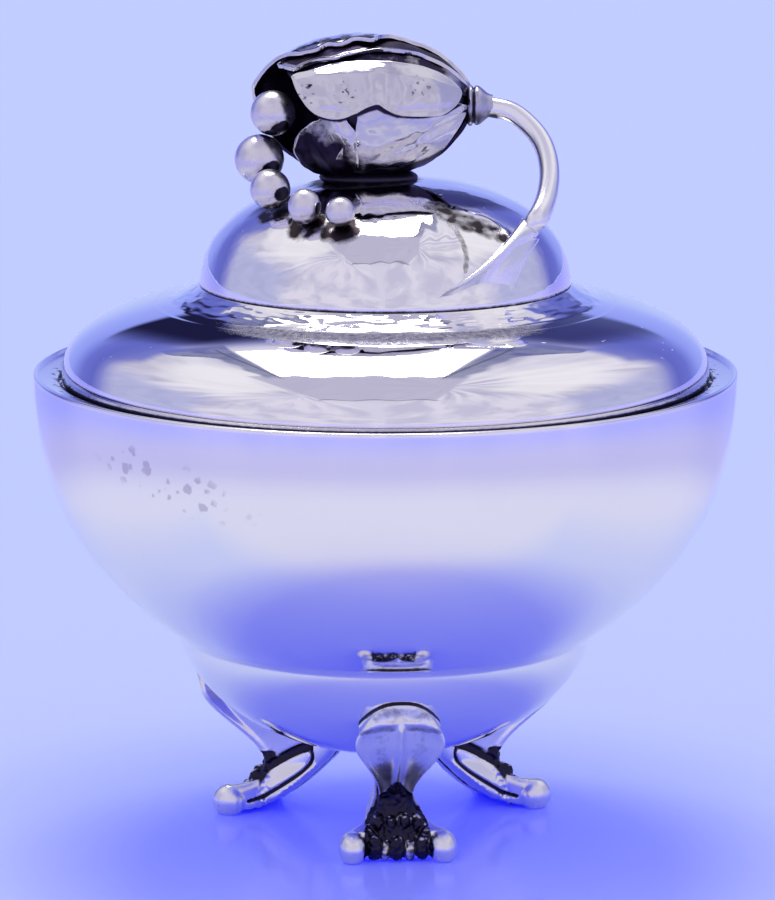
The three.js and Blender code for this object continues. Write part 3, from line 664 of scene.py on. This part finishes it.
# Patina in the bead seats with painted shade round the beads, and painted shade under the bud and beside the stem.
shade_and_patina_spots = [around(upper_points, over_dome(*seat) + (-0.2, -0.5, -0.6), 3.9, 1.9) for seat in bead_seats]
shade_and_patina_spots.append(smooth(9.5, 6.0, np.hypot(upper_points[:, 0] + 3.0, upper_points[:, 1] * 1.15)))
shade_and_patina_spots += [0.8 * around(upper_points, over_dome(along, angle), size * 1.3, size * 0.6) for along, angle, size in stem_shade_patch]
patina_and_painted_shade = np.maximum.reduce(shade_and_patina_spots) * (0.45 + 0.75 * speckle(upper_points, 1.3, 11.0))
for along in ribbon:
    spot = over_dome(along, -61.5 - 2.5 * ((along - 0.36) / 0.16) ** 2)
    patina_and_painted_shade = np.maximum(patina_and_painted_shade, 0.5 * around(upper_points, spot, 0.62, 0.3))
joint = 0.9 * smooth(foot_line + 0.2, foot_line + 0.05, upper_points[:, 2])
darken(upper, np.maximum(patina_and_painted_shade * (upper_points[:, 2] > 76), joint))

# Bezel: a strip bent to a ring and soldered under the lid, which drops inside the bearer ring.
# It keeps the lid from sliding off, and shows only when the lid is lifted.
bezel_outer = 42.34
bezel_inner = bezel_outer - 0.9
bezel_low = 57.6
bezel_top = 65.3
bezel_sides = 240
bezel_profile = [(bezel_inner, bezel_low + 0.15), (bezel_inner + 0.2, bezel_low), (bezel_outer - 0.25, bezel_low),
                 (bezel_outer - 0.05, bezel_low + 0.25), (bezel_outer, bezel_low + 0.7), (bezel_outer, bezel_top),
                 (bezel_inner, bezel_top)]
lay("lid_bezel_strip", *spin(bezel_profile, bezel_sides, closed=True), "lid", "inner_silver", ["lid_bezel"],
    silver("bezel silver", (0.87, 0.86, 0.9), gloss=0.16, haze=0.1))

# Bud: petals of sheet silver, hammered over a stake, lapped over each other and soldered on a blackened core.
# It lies on its side over the dome, open at the left, with its petal edges filed thin and left a little wavy.
bud_radius = 9.1
bud_middle = -3.0
bud_mouth = 15.6
bud_stem = 15.0
bud_height = 100.1
bud_end = 11.1
petal_sheet = 0.5
filed_width = 0.1
# Degrees round the bud that run as far as a millimetre along it.
turn_size = 6.4
# Petal outlines, as places along the bud and angles round it.
front_edge = [(-12.6, 36.0), (-12.44, 29.2), (-11.65, 15.1), (-10.08, 1.3), (-8.3, -4.0), (-6.07, -4.8), (-3.84, 0.0),
              (-2.06, 4.8), (-0.95, 6.1), (0.16, 1.9), (1.72, -1.8), (5.06, -4.5), (7.97, -4.5), (9.55, 4.8),
              (10.24, 20.0), (10.24, 27.3), (9.56, 37.8), (8.21, 43.5), (5.07, 45.9), (2.83, 45.4), (0.6, 45.0),
              (-2.74, 46.1), (-4.96, 45.3), (-6.97, 44.0), (-9.42, 39.5), (-10.7, 38.2), (-12.1, 38.4)]
lower_left = [(-5.25, 6.0), (-5.18, -7.8), (-4.6, -13.0), (-4.07, -17.1), (-3.9, -28.0), (-3.6, -44.0), (-4.2, -64.0),
              (-5.5, -84.0), (-8.2, -82.0), (-11.3, -62.0), (-12.4, -46.0), (-12.14, -34.1), (-11.6, -25.0),
              (-11.0, -18.4), (-9.87, -10.8), (-8.9, -8.4), (-8.4, 0.0), (-7.4, 7.0)]
lower_right = [(-4.4, 8.0), (-3.74, -5.5), (-3.9, -12.0), (-4.07, -18.6), (-5.0, -26.0), (-6.4, -40.0), (-6.8, -58.0),
               (-6.0, -78.0), (-3.0, -98.0), (2.0, -104.0), (5.5, -84.0), (8.0, -58.0), (10.2, -34.0), (11.1, -16.0),
               (11.1, 0.0), (9.4, 9.0), (4.0, 11.0), (-1.0, 14.0)]
top_edge = [(-13.95, 59.8), (-13.2, 51.5), (-12.13, 44.9), (-10.78, 46.8), (-8.99, 49.5), (-6.98, 47.8), (-5.19, 51.2),
            (-3.86, 53.6), (-2.74, 56.5), (0.0, 60.0), (2.6, 62.0), (5.0, 66.0), (8.0, 70.0), (11.1, 74.0),
            (11.1, 96.0), (6.0, 102.0), (0.0, 104.0), (-5.0, 100.0), (-9.0, 92.0), (-12.5, 82.0), (-14.6, 70.0)]
under_edge = [(-12.4, 40.0), (-13.2, 52.0), (-12.0, 66.0), (-6.0, 72.0), (0.0, 74.0), (6.0, 74.0), (11.1, 72.0),
              (11.1, 30.0), (6.0, 34.0), (0.0, 36.0), (-7.0, 34.0)]
back_edge = [(-13.5, 72.0), (-12.2, 64.0), (-10.8, 61.0), (-9.01, 60.7), (-7.9, 66.0), (-6.8, 62.8), (-5.65, 62.3),
             (-4.8, 66.0), (-3.87, 68.9), (-2.7, 67.0), (-1.63, 66.4), (-1.0, 71.0), (-0.51, 77.8), (0.4, 84.0),
             (2.5, 88.0), (5.5, 92.0), (8.5, 95.0), (11.1, 97.0), (11.1, 140.0), (11.1, 190.0), (5.0, 196.0),
             (-2.0, 198.0), (-9.0, 197.0), (-14.0, 196.0), (-17.4, 190.0), (-18.1, 170.0), (-18.2, 146.0),
             (-18.1, 122.0), (-17.4, 102.0), (-15.8, 86.0)]
under_back = [(11.1, 184.0), (11.1, 262.0), (5.0, 270.0), (-2.0, 272.0), (-8.0, 272.0), (-12.6, 262.0), (-15.6, 240.0),
              (-17.4, 215.0), (-17.6, 194.0), (-8.0, 184.0), (2.0, 180.0)]


def bud_outline(x):
    # The bud's radius at a place along it.
    share = (x - bud_middle) / np.where(x < bud_middle, bud_mouth, bud_stem)
    return bud_radius * np.maximum(1 - share ** 2, 0.004) ** 0.57


def on_bud(x, angle, out):
    # A place on the bud: the angle is 0 at the front and 90 at the top.
    turn = np.radians(angle)
    down = np.maximum(-np.sin(turn), 0)
    r = bud_outline(x) * (1 + 0.12 * down ** 2) + out
    return np.stack([x, -r * np.cos(turn), bud_height + r * np.sin(turn)], -1)


def closed_line(corners, count):
    # A smooth closed line through corners given as places along the bud and angles round it.
    p = np.array(corners, float) / (1, turn_size)
    p = np.vstack([p[-3:], p, p[:4]])
    line = flowing(p, 40 * len(p))
    half = len(line) // 2
    start = np.argmin(np.linalg.norm(line[:half] - p[3], axis=1))
    end = half + np.argmin(np.linalg.norm(line[half:] - p[-4], axis=1))
    return evenly(line[start:end], count, closed=True) * (1, turn_size)


def petal(name, node, corners, middle, rise, dark, seed, ripple, rim=0.12, count=260, rows=46):
    # A petal cut to a closed outline and bent to the bud. Its rise over the bud and its dark share, which is painted
    # shade in places, are set by place, angle and nearness to the edge. The rim is drawn up into a thin bright line,
    # and the back is black.
    edge = closed_line(corners, count)
    middle = np.array(middle, float)
    spokes = edge - middle
    if (spokes[:, 0] * np.roll(spokes[:, 1], -1) - spokes[:, 1] * np.roll(spokes[:, 0], -1)).sum() < 0:
        edge = edge[::-1]
    shares = np.linspace(0, 1, rows) ** 0.8
    flat = np.vstack([middle[None, :]] + [middle + share * (edge - middle) for share in shares[1:]])
    to_edge = line_distance(flat / (1, turn_size), np.vstack([edge, edge[:1]])[::2] / (1, turn_size))
    x, angle = flat.T
    wavy = waves(flat, (1, 1 / 4.0, 1 / 28.0, seed), (0.5, 1 / 1.7, 1 / 12.0, seed), (0.16, 1 / 0.9, 1 / 5.0, seed + 3))
    out = rise(x, angle) + ripple * wavy + rim * np.exp(-(to_edge / 0.28) ** 2)
    faces = [[0, 1 + j, 1 + (j + 1) % count] for j in range(count)]
    faces += [f[::-1] for f in grid_faces(rows - 1, count, start=1)]
    piece = lay(name, on_bud(x, angle, out), faces, "lid", "petal_silver", [node] if node else [],
                petal_silver, petal_black)
    sheet = piece.modifiers.new("sheet", "SOLIDIFY")
    sheet.thickness = petal_sheet / 1000
    sheet.offset = -1
    sheet.material_offset = 1
    sheet.use_even_offset = False
    filed = piece.modifiers.new("filed edge", "BEVEL")
    filed.width = filed_width / 1000
    filed.segments = 2
    filed.limit_method = "ANGLE"
    filed.angle_limit = crease_angle
    darken(piece, dark(x, angle, to_edge))


def front_rise(x, angle):
    # Proud of the bud, bellied in two halves with a shallow valley up from its notch, and curled in along its top.
    valley = 0.42 * np.exp(-((x - 0.1 - 0.004 * angle) / 1.5) ** 2) * smooth(48, 20, angle)
    curl = np.maximum(angle - 31.5 + 0.5 * np.sin(x * 0.9), 0) * (0.045 + 0.03 * smooth(1.5, -1.5, x))
    return 0.95 - valley - curl + 0.25 * smooth(2.0, -4.0, angle) - 0.2 * smooth(7, 10, x)


def pits(x, angle, to_edge):
    # Small ragged pits, in three patches, where the surface was hammered thin.
    patches = [(-5.4, 15.5, 1.9, 0.8), (-10.6, 17.0, 2.2, 0.75), (4.6, 22.0, 2.6, 0.55)]
    ragged = smooth(0.22, 0.4, waves(zip(x, angle), (1, 1.5, 0.2, 4.0), (0.5, 3.4, 0.55, 8.0)))
    near = [depth * smooth(size, size * 0.6, np.hypot(x - a, (angle - b) / turn_size)) for a, b, size, depth in patches]
    return np.maximum.reduce(near) * ragged


def shade_under_front_petal(x, angle, to_edge):
    # Painted shade beside the front petal's edge, where the bud turns under, and at its pinched end.
    front_line = np.array(front_edge + front_edge[:1]) / (1, turn_size)
    near = smooth(1.0, 0.45, line_distance(np.stack([x, angle / turn_size], 1), front_line)) * smooth(12, 2, angle)
    return np.maximum(near, smooth(-52, -66, angle + 2.5 * np.sin(x * 1.3)))


def left_lobe_reflection_and_shade(x, angle, to_edge):
    # Painted dark reflection in waves towards its lower side and its left end, up to a thin bright rim, over painted
    # shade.
    painted_dark_reflection = 0.55 * smooth(-22, -38, angle + 5 * np.sin(x * 1.4)) + 0.6 * smooth(-6.0, -9.5, x + 0.05 * angle)
    return np.maximum(shade_under_front_petal(x, angle, to_edge), painted_dark_reflection * smooth(0.12, 0.35, to_edge))


def lower_rise(x, angle):
    # Sunk beside the front petal, with one slanting crease and a small curled tip.
    crease = 0.3 * np.exp(-((angle + 34 - 2.2 * (x - 3)) / 6.0) ** 2) * smooth(-3, 2, x)
    curled = 0.35 * np.exp(-((x - 5.6) / 1.1) ** 2 - ((angle + 34) / 9) ** 2)
    return -0.25 + 0.25 * smooth(-16, -34, angle) - crease + curled


def back_dark(x, angle, to_edge):
    # Broken dark patches behind the bright rim of the back petal's front edge.
    broken = smooth(0.3, 0.7, 0.5 + 0.5 * np.sin(x * 2.1))
    return 0.7 * smooth(0.5, 1.0, to_edge) * smooth(96, 74, angle) * broken


def laid_over(points, height):
    # Turned points laid over on their side, with their axis along the bud.
    return points[:, [2, 1, 0]] * (1, 1, -1) + (0, 0, height)


petal_silver = silver("petal silver", (0.70, 0.685, 0.75), gloss=0.1, haze=0.07, scratch=0.2, scale=150.0, oxide_and_painted_shade=True,
                      dark=(0.03, 0.022, 0.055))
petal_black = silver("blackened petal back", (0.05, 0.04, 0.085), gloss=0.4, haze=0.2)
petal("front_upper_petal_sheet", "front_upper_petal", front_edge, (-1.0, 26.0), front_rise, pits,
      seed=2.0, ripple=0.13)
petal("lower_left_petal_sheet", None, lower_left, (-7.6, -38.0),
      lambda x, angle: -0.2 + 0.3 * smooth(-4, -25, angle) + 0.25 * np.sin(x * 1.5 + angle * 0.12), left_lobe_reflection_and_shade,
      seed=5.5, ripple=0.3, rim=0.16)
petal("lower_petal_sheet", "lower_petal", lower_right, (2.0, -40.0), lower_rise, shade_under_front_petal,
      seed=7.5, ripple=0.22, rim=0.1)
petal("top_petal_sheet", "top_petal", top_edge, (-2.0, 80.0),
      lambda x, angle: 0.15 - 0.3 * smooth(60, 75, angle) + 0.25 * smooth(58, 46, angle),
      lambda x, angle, to_edge: 0.85 * smooth(0.35, 0.8, to_edge), seed=9.0, ripple=0.18, rim=0.2)
# A dark sheet sunk under the top petal: painted shade in the gap between the petals.
petal("shade_sheet_under_top_petal", None, under_edge, (-1.0, 54.0), lambda x, angle: -0.45,
      lambda x, angle, to_edge: 0.8 + 0.4 * np.sin(x * 1.1 + 1.0) * smooth(1.0, 6.0, x),
      seed=3.3, ripple=0.35, rim=0.0)
petal("back_petal_sheet", "back_petal", back_edge, (-3.0, 128.0),
      lambda x, angle: 0.35 + 0.5 * smooth(92, 66, angle) + 1.5 * smooth(-15.0, -18.2, x) * smooth(110, 165, angle),
      back_dark, seed=13.0, ripple=0.2, rim=0.22, count=340, rows=60)
# The under petal is painted dark past 236 degrees round, as shade under the bud.
petal("under_petal_sheet", "under_petal", under_back, (-3.0, 224.0),
      lambda x, angle: -0.2 + 1.3 * smooth(-14.5, -17.6, x) * smooth(285, 230, angle),
      lambda x, angle, to_edge: smooth(236, 248, angle), seed=17.0, ripple=0.25)
# The core stands 1.25 mm inside the petals, and a saddle of solder under it joins it to the dome.
# The saddle is black like the core, as painted shade where the bud meets the dome.
core_x = np.linspace(-8.5, bud_end, 40)
core_profile = np.vstack([[(0, -9.3), (3.0, -9.2)], np.stack([bud_outline(core_x) - 1.25, core_x], 1), [(0, bud_end)]])
core_points, core_faces = spin(core_profile, 96)
saddle = ball((bud_middle + 0.7, 0.0, 90.1), (6.7, 4.6, 1.5), sides=64, rows=32)
core_points, core_faces = merged([(laid_over(core_points, bud_height), core_faces), saddle])
lay("bud_core_black", core_points, core_faces, "lid", "oxidised_silver", ["bud_core"],
    silver("blackened core", (0.05, 0.042, 0.08), gloss=0.4, haze=0.2))

# Collar: a turned ring with two fine lips and a groove, soldered where the petals gather, that takes the
# stem's end. Its groove and the joint behind it are black, and its lower side is painted dark as shade.
collar_profile = [(0, 11.0), (2.35, 11.0), (2.75, 11.25), (2.8, 11.55), (2.58, 11.78), (2.42, 11.86), (2.42, 12.0),
                  (2.62, 12.1), (2.7, 12.25), (2.65, 12.6), (2.3, 13.1), (1.85, 13.6), (1.5, 14.1), (1.42, 14.5),
                  (0, 14.5)]
collar_groove = 11.93
collar_joint = (11.3, 11.1)
collar_height = bud_height - 0.25
collar_points, collar_faces = spin(collar_profile, 96)
collar_points = laid_over(collar_points, collar_height)
collar = lay("stem_collar_ring", collar_points, collar_faces, "lid", "cast_silver", ["stem_collar"],
             silver("collar silver", (0.5, 0.49, 0.62), gloss=0.24, haze=0.12, scale=400.0, oxide_and_painted_shade=True))
collar_x, _, collar_z = collar_points.T
in_groove = smooth(0.22, 0.1, np.abs(collar_x - collar_groove))
painted_underside_shade = 0.62 * smooth(0.4, -1.4, collar_z - collar_height)
darken(collar, np.maximum.reduce([in_groove, smooth(*collar_joint, collar_x), painted_underside_shade]))

# Stem: a drawn rod, bent out and down to the front, with its end beaten out into a leaf that lies on the dome.
# It is rubbed satin. The leaf end thins to nothing at its outer side and runs down to the dome's foot.
stem_bends = [(14.3, 0.0, 99.6), (17.0, -0.5, 99.0), (19.7, -1.8, 97.0), (21.3, -3.6, 94.8), (22.0, -6.2, 91.8),
              (21.5, -9.6, 88.5), (20.1, -12.7, 86.0)]
stem_radius = 1.38
stem_count = 110
# The leaf's two edges: along and angle on the dome, and height over it.
leaf_inner = [(0.315, -43.5, 1.2), (0.246, -53.8, 0.9), (0.183, -61.6, 0.75), (0.13, -68.7, 0.55),
              (0.085, -74.1, 0.08)]
leaf_outer = [(0.322, -20.4, 1.2), (0.263, -32.7, 1.1), (0.222, -39.2, 0.9), (0.16, -43.9, 0.4),
              (0.085, -48.0, 0.02)]
leaf_count = 80
dome_middle = np.array([0, 0, 74.7])
inner_spots, outer_spots = [[over_dome(*spot) for spot in line] for line in (leaf_inner, leaf_outer)]
leaf_start = (inner_spots[0] + outer_spots[0]) / 2
leaf_next = (inner_spots[1] + outer_spots[1]) / 2
stem_path = flowing(stem_bends + [leaf_start + (0.25, -0.6, 0.9), leaf_next], stem_count + 20)[:stem_count]
stem_turns = np.linspace(0, 2 * math.pi, 48, endpoint=False)
stem_rings = []
for place, way, share in zip(stem_path, unit(np.gradient(stem_path, axis=0)), np.linspace(0, 1, stem_count)):
    up = place - dome_middle
    up = unit(up - way * (up @ way))
    across = np.cross(way, up)
    wide = stem_radius * (1.0 + 0.12 * smooth(0.45, 0.95, share))
    thick = stem_radius * (1.0 - 0.08 * smooth(0.5, 1.0, share))
    stem_rings.append([place + across * wide * math.cos(turn) + up * thick * math.sin(turn) for turn in stem_turns])
rod_end = stem_rings[-1]
leaf_lines = flowing(inner_spots, leaf_count), flowing(outer_spots, leaf_count), np.linspace(0, 1, leaf_count)
for a, b, share in list(zip(*leaf_lines))[1:]:
    middle, across = (a + b) / 2, (a - b) / 2
    up = np.array([middle[0], middle[1], 0.55 * np.hypot(middle[0], middle[1])])
    up = unit(up - across * (up @ across) / (across @ across))
    crown = 1.25 * (1 - share) + 0.14 * share
    blend_in = smooth(0.0, 0.3, share)
    ring = []
    for start, turn in zip(rod_end, stem_turns):
        c, s = math.cos(turn), math.sin(turn)
        shape = math.copysign(abs(s) ** (1.0 + 0.4 * share), s)
        ridge = 0.3 * math.exp(-((c - 0.72) / 0.22) ** 2) * (s > 0) * (1 - 0.5 * share)
        dip = -0.22 * math.exp(-((c - 0.1) / 0.35) ** 2) * (s > 0) * smooth(0.1, 0.6, share)
        spot = middle + across * c + up * (crown * shape + ridge + dip)
        ring.append(spot * blend_in + (start + (middle - leaf_start)) * (1 - blend_in))
    stem_rings.append(ring)
stem_points, stem_faces = loft(stem_rings)
stem_points = np.array(stem_points)
stem = lay("stem_rod", stem_points, stem_faces, "lid", "cast_silver", ["stem_loop"],
           silver("stem silver", (0.95, 0.935, 0.95), gloss=0.21, haze=0.06, scratch=0.02, oxide_and_painted_shade=True))
x, y, z = stem_points.T
leaf_tip = smooth(0.55, 0.2, np.linalg.norm((stem_points - over_dome(0.08, -61.3, 0.75)) / (1.4, 1.0, 1.0), axis=1))
# Painted shade under the stem where it leaves the collar.
painted_shade_by_collar = smooth(16.0, 14.6, x) * smooth(99.4, 98.4, z) * smooth(94.0, 95.0, z)
darken(stem, np.maximum(leaf_tip, 0.9 * painted_shade_by_collar))

# Beads: five solid balls, three seated on the dome in small beds of solder and two that climb into the mouth.
# Each touches the next. They are rubbed satin, and a little grey.
bead_radii = [1.88, 2.1, 2.62, 3.24, 2.93]
bead_climb = [(-1.55, 4.9, 3.4), (1.85, 0.3, 6.2)]
bead_gap = 0.3
bead_skin = 0.1
bead_2_tall = 1.08
bead_silver = silver("bead silver", (0.80, 0.765, 0.815), gloss=0.26, haze=0.08, scratch=0.02, scale=350.0, oxide_and_painted_shade=True)
beads = [(radius, over_dome(along, angle, radius + bead_gap)) for radius, (along, angle) in zip(bead_radii, bead_seats)]
for radius, way in zip(bead_radii[3:], bead_climb):
    under, middle = beads[-1]
    beads.append((radius, middle + unit(np.array(way)) * (under + bead_gap + radius)))
for i, (radius, middle) in enumerate(beads):
    name = "bead_%d" % (i + 1)
    tall = bead_2_tall if name == "bead_2" else 1.0
    points, faces = ball(middle, np.array([1, 1, tall]) * (radius + bead_skin), sides=72, rows=48)
    points = planished(points, 4.5, 0.03, radius * 7)
    bead = lay(name + "_ball", points, faces, "lid", "cast_silver", [name], bead_silver)
    joint = np.zeros(len(points))
    for _, other in beads[:i] + beads[i + 1:]:
        joint = np.maximum(joint, smooth(0.962, 0.985, ((points - middle) / radius) @ unit(other - middle)))
    if i < len(bead_seats):
        seat = -unit(middle - (0, 0, 60)) * (1, 1, 0) + (0, 0, -0.7)
        joint = np.maximum(joint, smooth(0.78, 0.92, ((points - middle) / radius) @ unit(seat)))
    darken(bead, joint)

# Photographer's table: a smooth pale blue top, very slightly glossy, that glows through from below.
# It isn't part of the object. It is painted darker under the bowl as painted shadow and lighter round it as painted
# light, and its near end, outside the picture, shows in the bowl in greyer bands.
table_rings = [(0, 0), (60, 0), (140, 0), (400, 0), (1200, 0), (6000, 0)]
table_gloss = 0.16
table_shine = 0.12
floor_points, floor_faces = spin(table_rings, 96)
floor_mesh = bpy.data.meshes.new("table")
floor_mesh.from_pydata([tuple(p / 1000) for p in floor_points], [], floor_faces)
table = bpy.data.objects.new("table", floor_mesh)
bpy.context.scene.collection.objects.link(table)


class Amount:
    # A number that a shader works out. Sums can be written with it, and each sum adds its node.
    def __init__(self, finish, socket):
        self.finish, self.socket = finish, socket

    def sum(self, operation, *others):
        return Amount(self.finish, self.finish.number(operation, self, *others))

    def step(self, low, high):
        # An eased step from 0 at low to 1 at high.
        return Amount(self.finish, self.finish.grade(self, low, high, interpolation_type="SMOOTHSTEP"))

    def between(self, low, low_full, high_full, high):
        # A band with eased ends.
        return self.step(low, low_full) * self.step(high, high_full)

    def __abs__(self):
        return self.sum("ABSOLUTE")

    def __add__(self, other):
        return self.sum("ADD", other)

    def __sub__(self, other):
        return self.sum("SUBTRACT", other)

    def __mul__(self, other):
        return self.sum("MULTIPLY", other)

    def __truediv__(self, other):
        return self.sum("DIVIDE", other)


def axes(finish, place):
    # The three sides of a place.
    return [Amount(finish, side) for side in finish.add("SeparateXYZ", {"Vector": place}).outputs]


def laid(finish, tone, *coats):
    # A tone with further tones laid over it, each by its share.
    for share, coat in coats:
        tone = finish.mixed(share, tone, coat)
    return tone


table_top = bpy.data.materials.new("table top")
finish = Finish(table_top)
place = finish.add("TexCoord").outputs["Object"]
right, back, _ = axes(finish, place)
run = Amount(finish, finish.length(place))
# Painted light: the table is lighter to the sides and in front of the bowl, out of its shadow.
near = (abs(right) - back * 0.1).step(0.065, 0.12).sum("MAXIMUM", back.step(-0.045, -0.075))
nearer, farthest, beyond = [near * run.step(*reach) for reach in ((0.13, 0.2), (0.22, 0.33), (0.36, 0.46))]
# Painted shadow right under the bowl.
under = run.step(0.075, 0.03) * 0.3
table_tone = laid(finish, (0.585, 0.655, 0.06), (near, (0.72, 0.74, 0.03)), (nearer, (0.56, 0.56, 0.04)),
                  (farthest, (0.45, 0.48, 0.05)), (beyond, (0.6, 0.58, 0.03)), (under, (0.1, 0.14, 0.03)))
glow_tone = laid(finish, (0.0, 0.0, 0.88), (nearer, (0.0, 0.0, 0.80)), (farthest, (0.0, 0.0, 0.88)),
                 (beyond, (0.0, 0.0, 0.66)))
paper = finish.tree.nodes["Principled BSDF"]
for socket, value in (("Base Color", table_tone), ("Roughness", table_gloss), ("Specular IOR Level", table_shine)):
    finish.join(value, paper.inputs[socket])
glow = finish.add("Emission", {"Color": glow_tone})
both = finish.add("AddShader", {0: paper.outputs["BSDF"], 1: glow.outputs["Emission"]})
finish.join(both.outputs["Shader"], finish.tree.nodes["Material Output"].inputs["Surface"])
floor_mesh.materials.append(table_top)

# Light tent: gathered pale cloth all round, with one window high at the back that its light comes from.
# The window has a shadowy frame, and low behind the object the room shows blue, then dark.
window_light = (16.0, 16.0, 16.0)
window_low_light = (3.0, 3.0, 3.0)
cloth_dark = (0.50, 0.485, 0.65)
cloth_pale = (0.80, 0.78, 0.90)
gather = (0.31, -0.2)
gather_shift = 0.16
ridge_shift = 0.1
room_reach = 60
room_tones = [(0, (0.56, 0.64, 1.0)), (10, (0.47, 0.56, 1.0)), (18, (0.36, 0.43, 1.0)), (28, (0.28, 0.34, 0.92)),
              (38, (0.15, 0.175, 0.66)), (46, (0.13, 0.15, 0.58)), (54, (0.27, 0.28, 0.68))]
degree = 180 / math.pi
tent = bpy.data.worlds.new("light tent")
bpy.context.scene.world = tent
finish = Finish(tent)
finish.tree.nodes.clear()
place = finish.add("TexCoord").outputs["Generated"]
sx, sy, sz = axes(finish, place)
# A place on the tent is told by its angle from the back and its height in degrees, or on a flat roof overhead.
from_back = abs(sx).sum("ARCTAN2", sy) * degree
height = sz.sum("ARCSINE") * degree
above = sz.sum("MAXIMUM", 0.02)
across, behind = sx / above, sy / above
from_ridge = across + ridge_shift
# Folds run out from a gathered spot on each side of the ridge.
fold_x = abs(from_ridge) - gather[0]
fold_y = behind - (from_ridge.sum("SIGN") * gather_shift + gather[1])
fold_run = (fold_x * fold_x + fold_y * fold_y).sum("SQRT").sum("MAXIMUM", 0.01)
fold_turn = (fold_run + 0.3).sum("LOGARITHM", 2.0) * 0.16 + sx.sum("SIGN") * 1.7
fold_way = finish.add("CombineXYZ", {"X": fold_x / fold_run, "Y": fold_y / fold_run, "Z": fold_turn})
folds = Amount(finish, finish.clouds(fold_way.outputs["Vector"], 4.2, 5, 0.35).outputs["Fac"])
# What lies over the cloth, each as its share and its tone: lit and shaded sides, the ridge, and the front.
lit_side = height.between(38, 50, 62, 72) * from_back.between(28, 42, 102, 118) * 0.8, (0.90, 0.89, 0.94)
low_side = height.step(42, 26) * from_back.between(40, 58, 102, 122) * 0.8, (0.42, 0.44, 0.74)
ridge = abs(from_ridge).step(0.14, 0.02) * 0.9, (0.62, 0.605, 0.76)
front_tone = laid(finish, (0.58, 0.565, 0.74), (folds.step(0.35, 0.62), (0.76, 0.735, 0.86)),
                  (abs(from_ridge).step(0.2, 0.02) * 0.9, (0.70, 0.68, 0.83)))
front = from_back.step(104, 125) * height.step(62, 50), front_tone
# A flat panel before the window, with a wavy hem.
panel_side = abs(across + (behind * 0.06 + 0.075))
panel = panel_side.step(0.335, 0.31) * behind.between(-0.6, -0.55, 0.3, 0.34) * 0.85, (0.50, 0.48, 0.65)
wavy = behind + (across * 25.0).sum("SINE") * 0.03
hem = wavy.between(-0.62, -0.6, -0.575, -0.55) * panel_side.step(0.36, 0.32) * 0.7, (0.2, 0.2, 0.3)
# The window's frame, uneven in tone, with a dark seam along it.
window_edge = abs(across + (behind * -0.0167 + 0.0737)) - (behind * 0.0354 + 0.209)
band_end = window_edge - (behind.step(0.78, 1.15) * 0.2 + 0.075) + (behind * 23.0).sum("SINE") * 0.008
uneven = Amount(finish, finish.clouds(place, 14.0, 4).outputs["Fac"])
band_tone = laid(finish, (0.30, 0.31, 0.46), (behind.step(0.55, 1.0), (0.10, 0.115, 0.34)),
                 (uneven.step(0.4, 0.62), (0.22, 0.235, 0.42)))
in_band = window_edge.step(0.004, 0.014) * band_end.step(0.012, -0.012) * behind.between(0.2, 0.34, 1.2, 1.3)
frame_band = in_band * 0.95, band_tone
seam_from = window_edge - (behind * 0.042 - 0.006)
frame_seam = seam_from.between(0.0, 0.004, 0.009, 0.014) * behind.between(0.2, 0.3, 1.08, 1.16) * 0.7, (0.1, 0.1, 0.16)
# The room, seen low at the back: blue tones by the distance from straight behind, then a dark shade over it.
wide, tall = from_back / 1.15, height * 1.4
low_run = (wide * wide + tall * tall).sum("SQRT")
room_ramp = finish.add("ValToRGB", {"Fac": low_run / room_reach})
while len(room_ramp.color_ramp.elements) < len(room_tones):
    room_ramp.color_ramp.elements.new(0.5)
for element, (reach, tone) in zip(room_ramp.color_ramp.elements, room_tones):
    element.position = reach / room_reach
    element.color = (*tone, 1)
room = low_run.step(62, 50), room_ramp.outputs["Color"]
one_sided = sx.step(0.0, 0.1) * -0.25 + 1.0
shade = height.between(17.5, 20, 33, 41) * from_back.step(23, 13) * one_sided, (0.012, 0.012, 0.055)
low_corner = height.between(24, 30, 36, 40) * from_back.between(18, 22, 34, 44) * 0.8, (0.13, 0.155, 0.58)
ledge = height.between(36.5, 38.5, 43, 45) * from_back.step(10, 7), (0.36, 0.31, 0.48)
# The window itself, brighter near the top of the tent, and the blue below the table's level.
sill = behind + ((across * 29.0).sum("SINE") + (across * 61.0).sum("SINE")) * 0.017
pane = laid(finish, window_low_light, (behind.step(0.62, 0.46), window_light))
opening = window_edge.step(0.006, -0.006) * sill.step(0.303, 0.317) * behind.step(1.04, 1.02), pane
below = sz.step(0.0, -0.01), (0.50, 0.56, 0.98)
# Specks of light in the dark part of the room.
dust = Amount(finish, finish.add("TexVoronoi", {"Vector": place, "Scale": 17.0}).outputs["Distance"])
dark_part = height.between(17.5, 20, 40, 46) * from_back.step(44, 30)
specks = dark_part * dust.step(0.075, 0.045), (1.5, 1.5, 1.7)
cloth = laid(finish, cloth_dark, (folds.step(0.33, 0.64), cloth_pale), lit_side, low_side, ridge, front, panel, hem,
             frame_band, frame_seam, room, shade, low_corner, ledge, opening, below, specks)
seen = finish.add("Background", {"Color": cloth})
finish.add("OutputWorld", {"Surface": seen.outputs["Background"]})

# Camera: a long lens a little over the rim, looking slightly down.
camera_data = bpy.data.cameras.new("camera")
camera_data.lens = 205.84
camera_data.sensor_width = 36.0
camera = bpy.data.objects.new("camera", camera_data)
bpy.context.scene.collection.objects.link(camera)
camera.location = (0.00027, -0.692, 0.1865)
camera.rotation_euler = (math.radians(90 - 10.97), 0, 0)
bpy.context.scene.camera = camera
bpy.context.scene.view_settings.view_transform = "Standard"
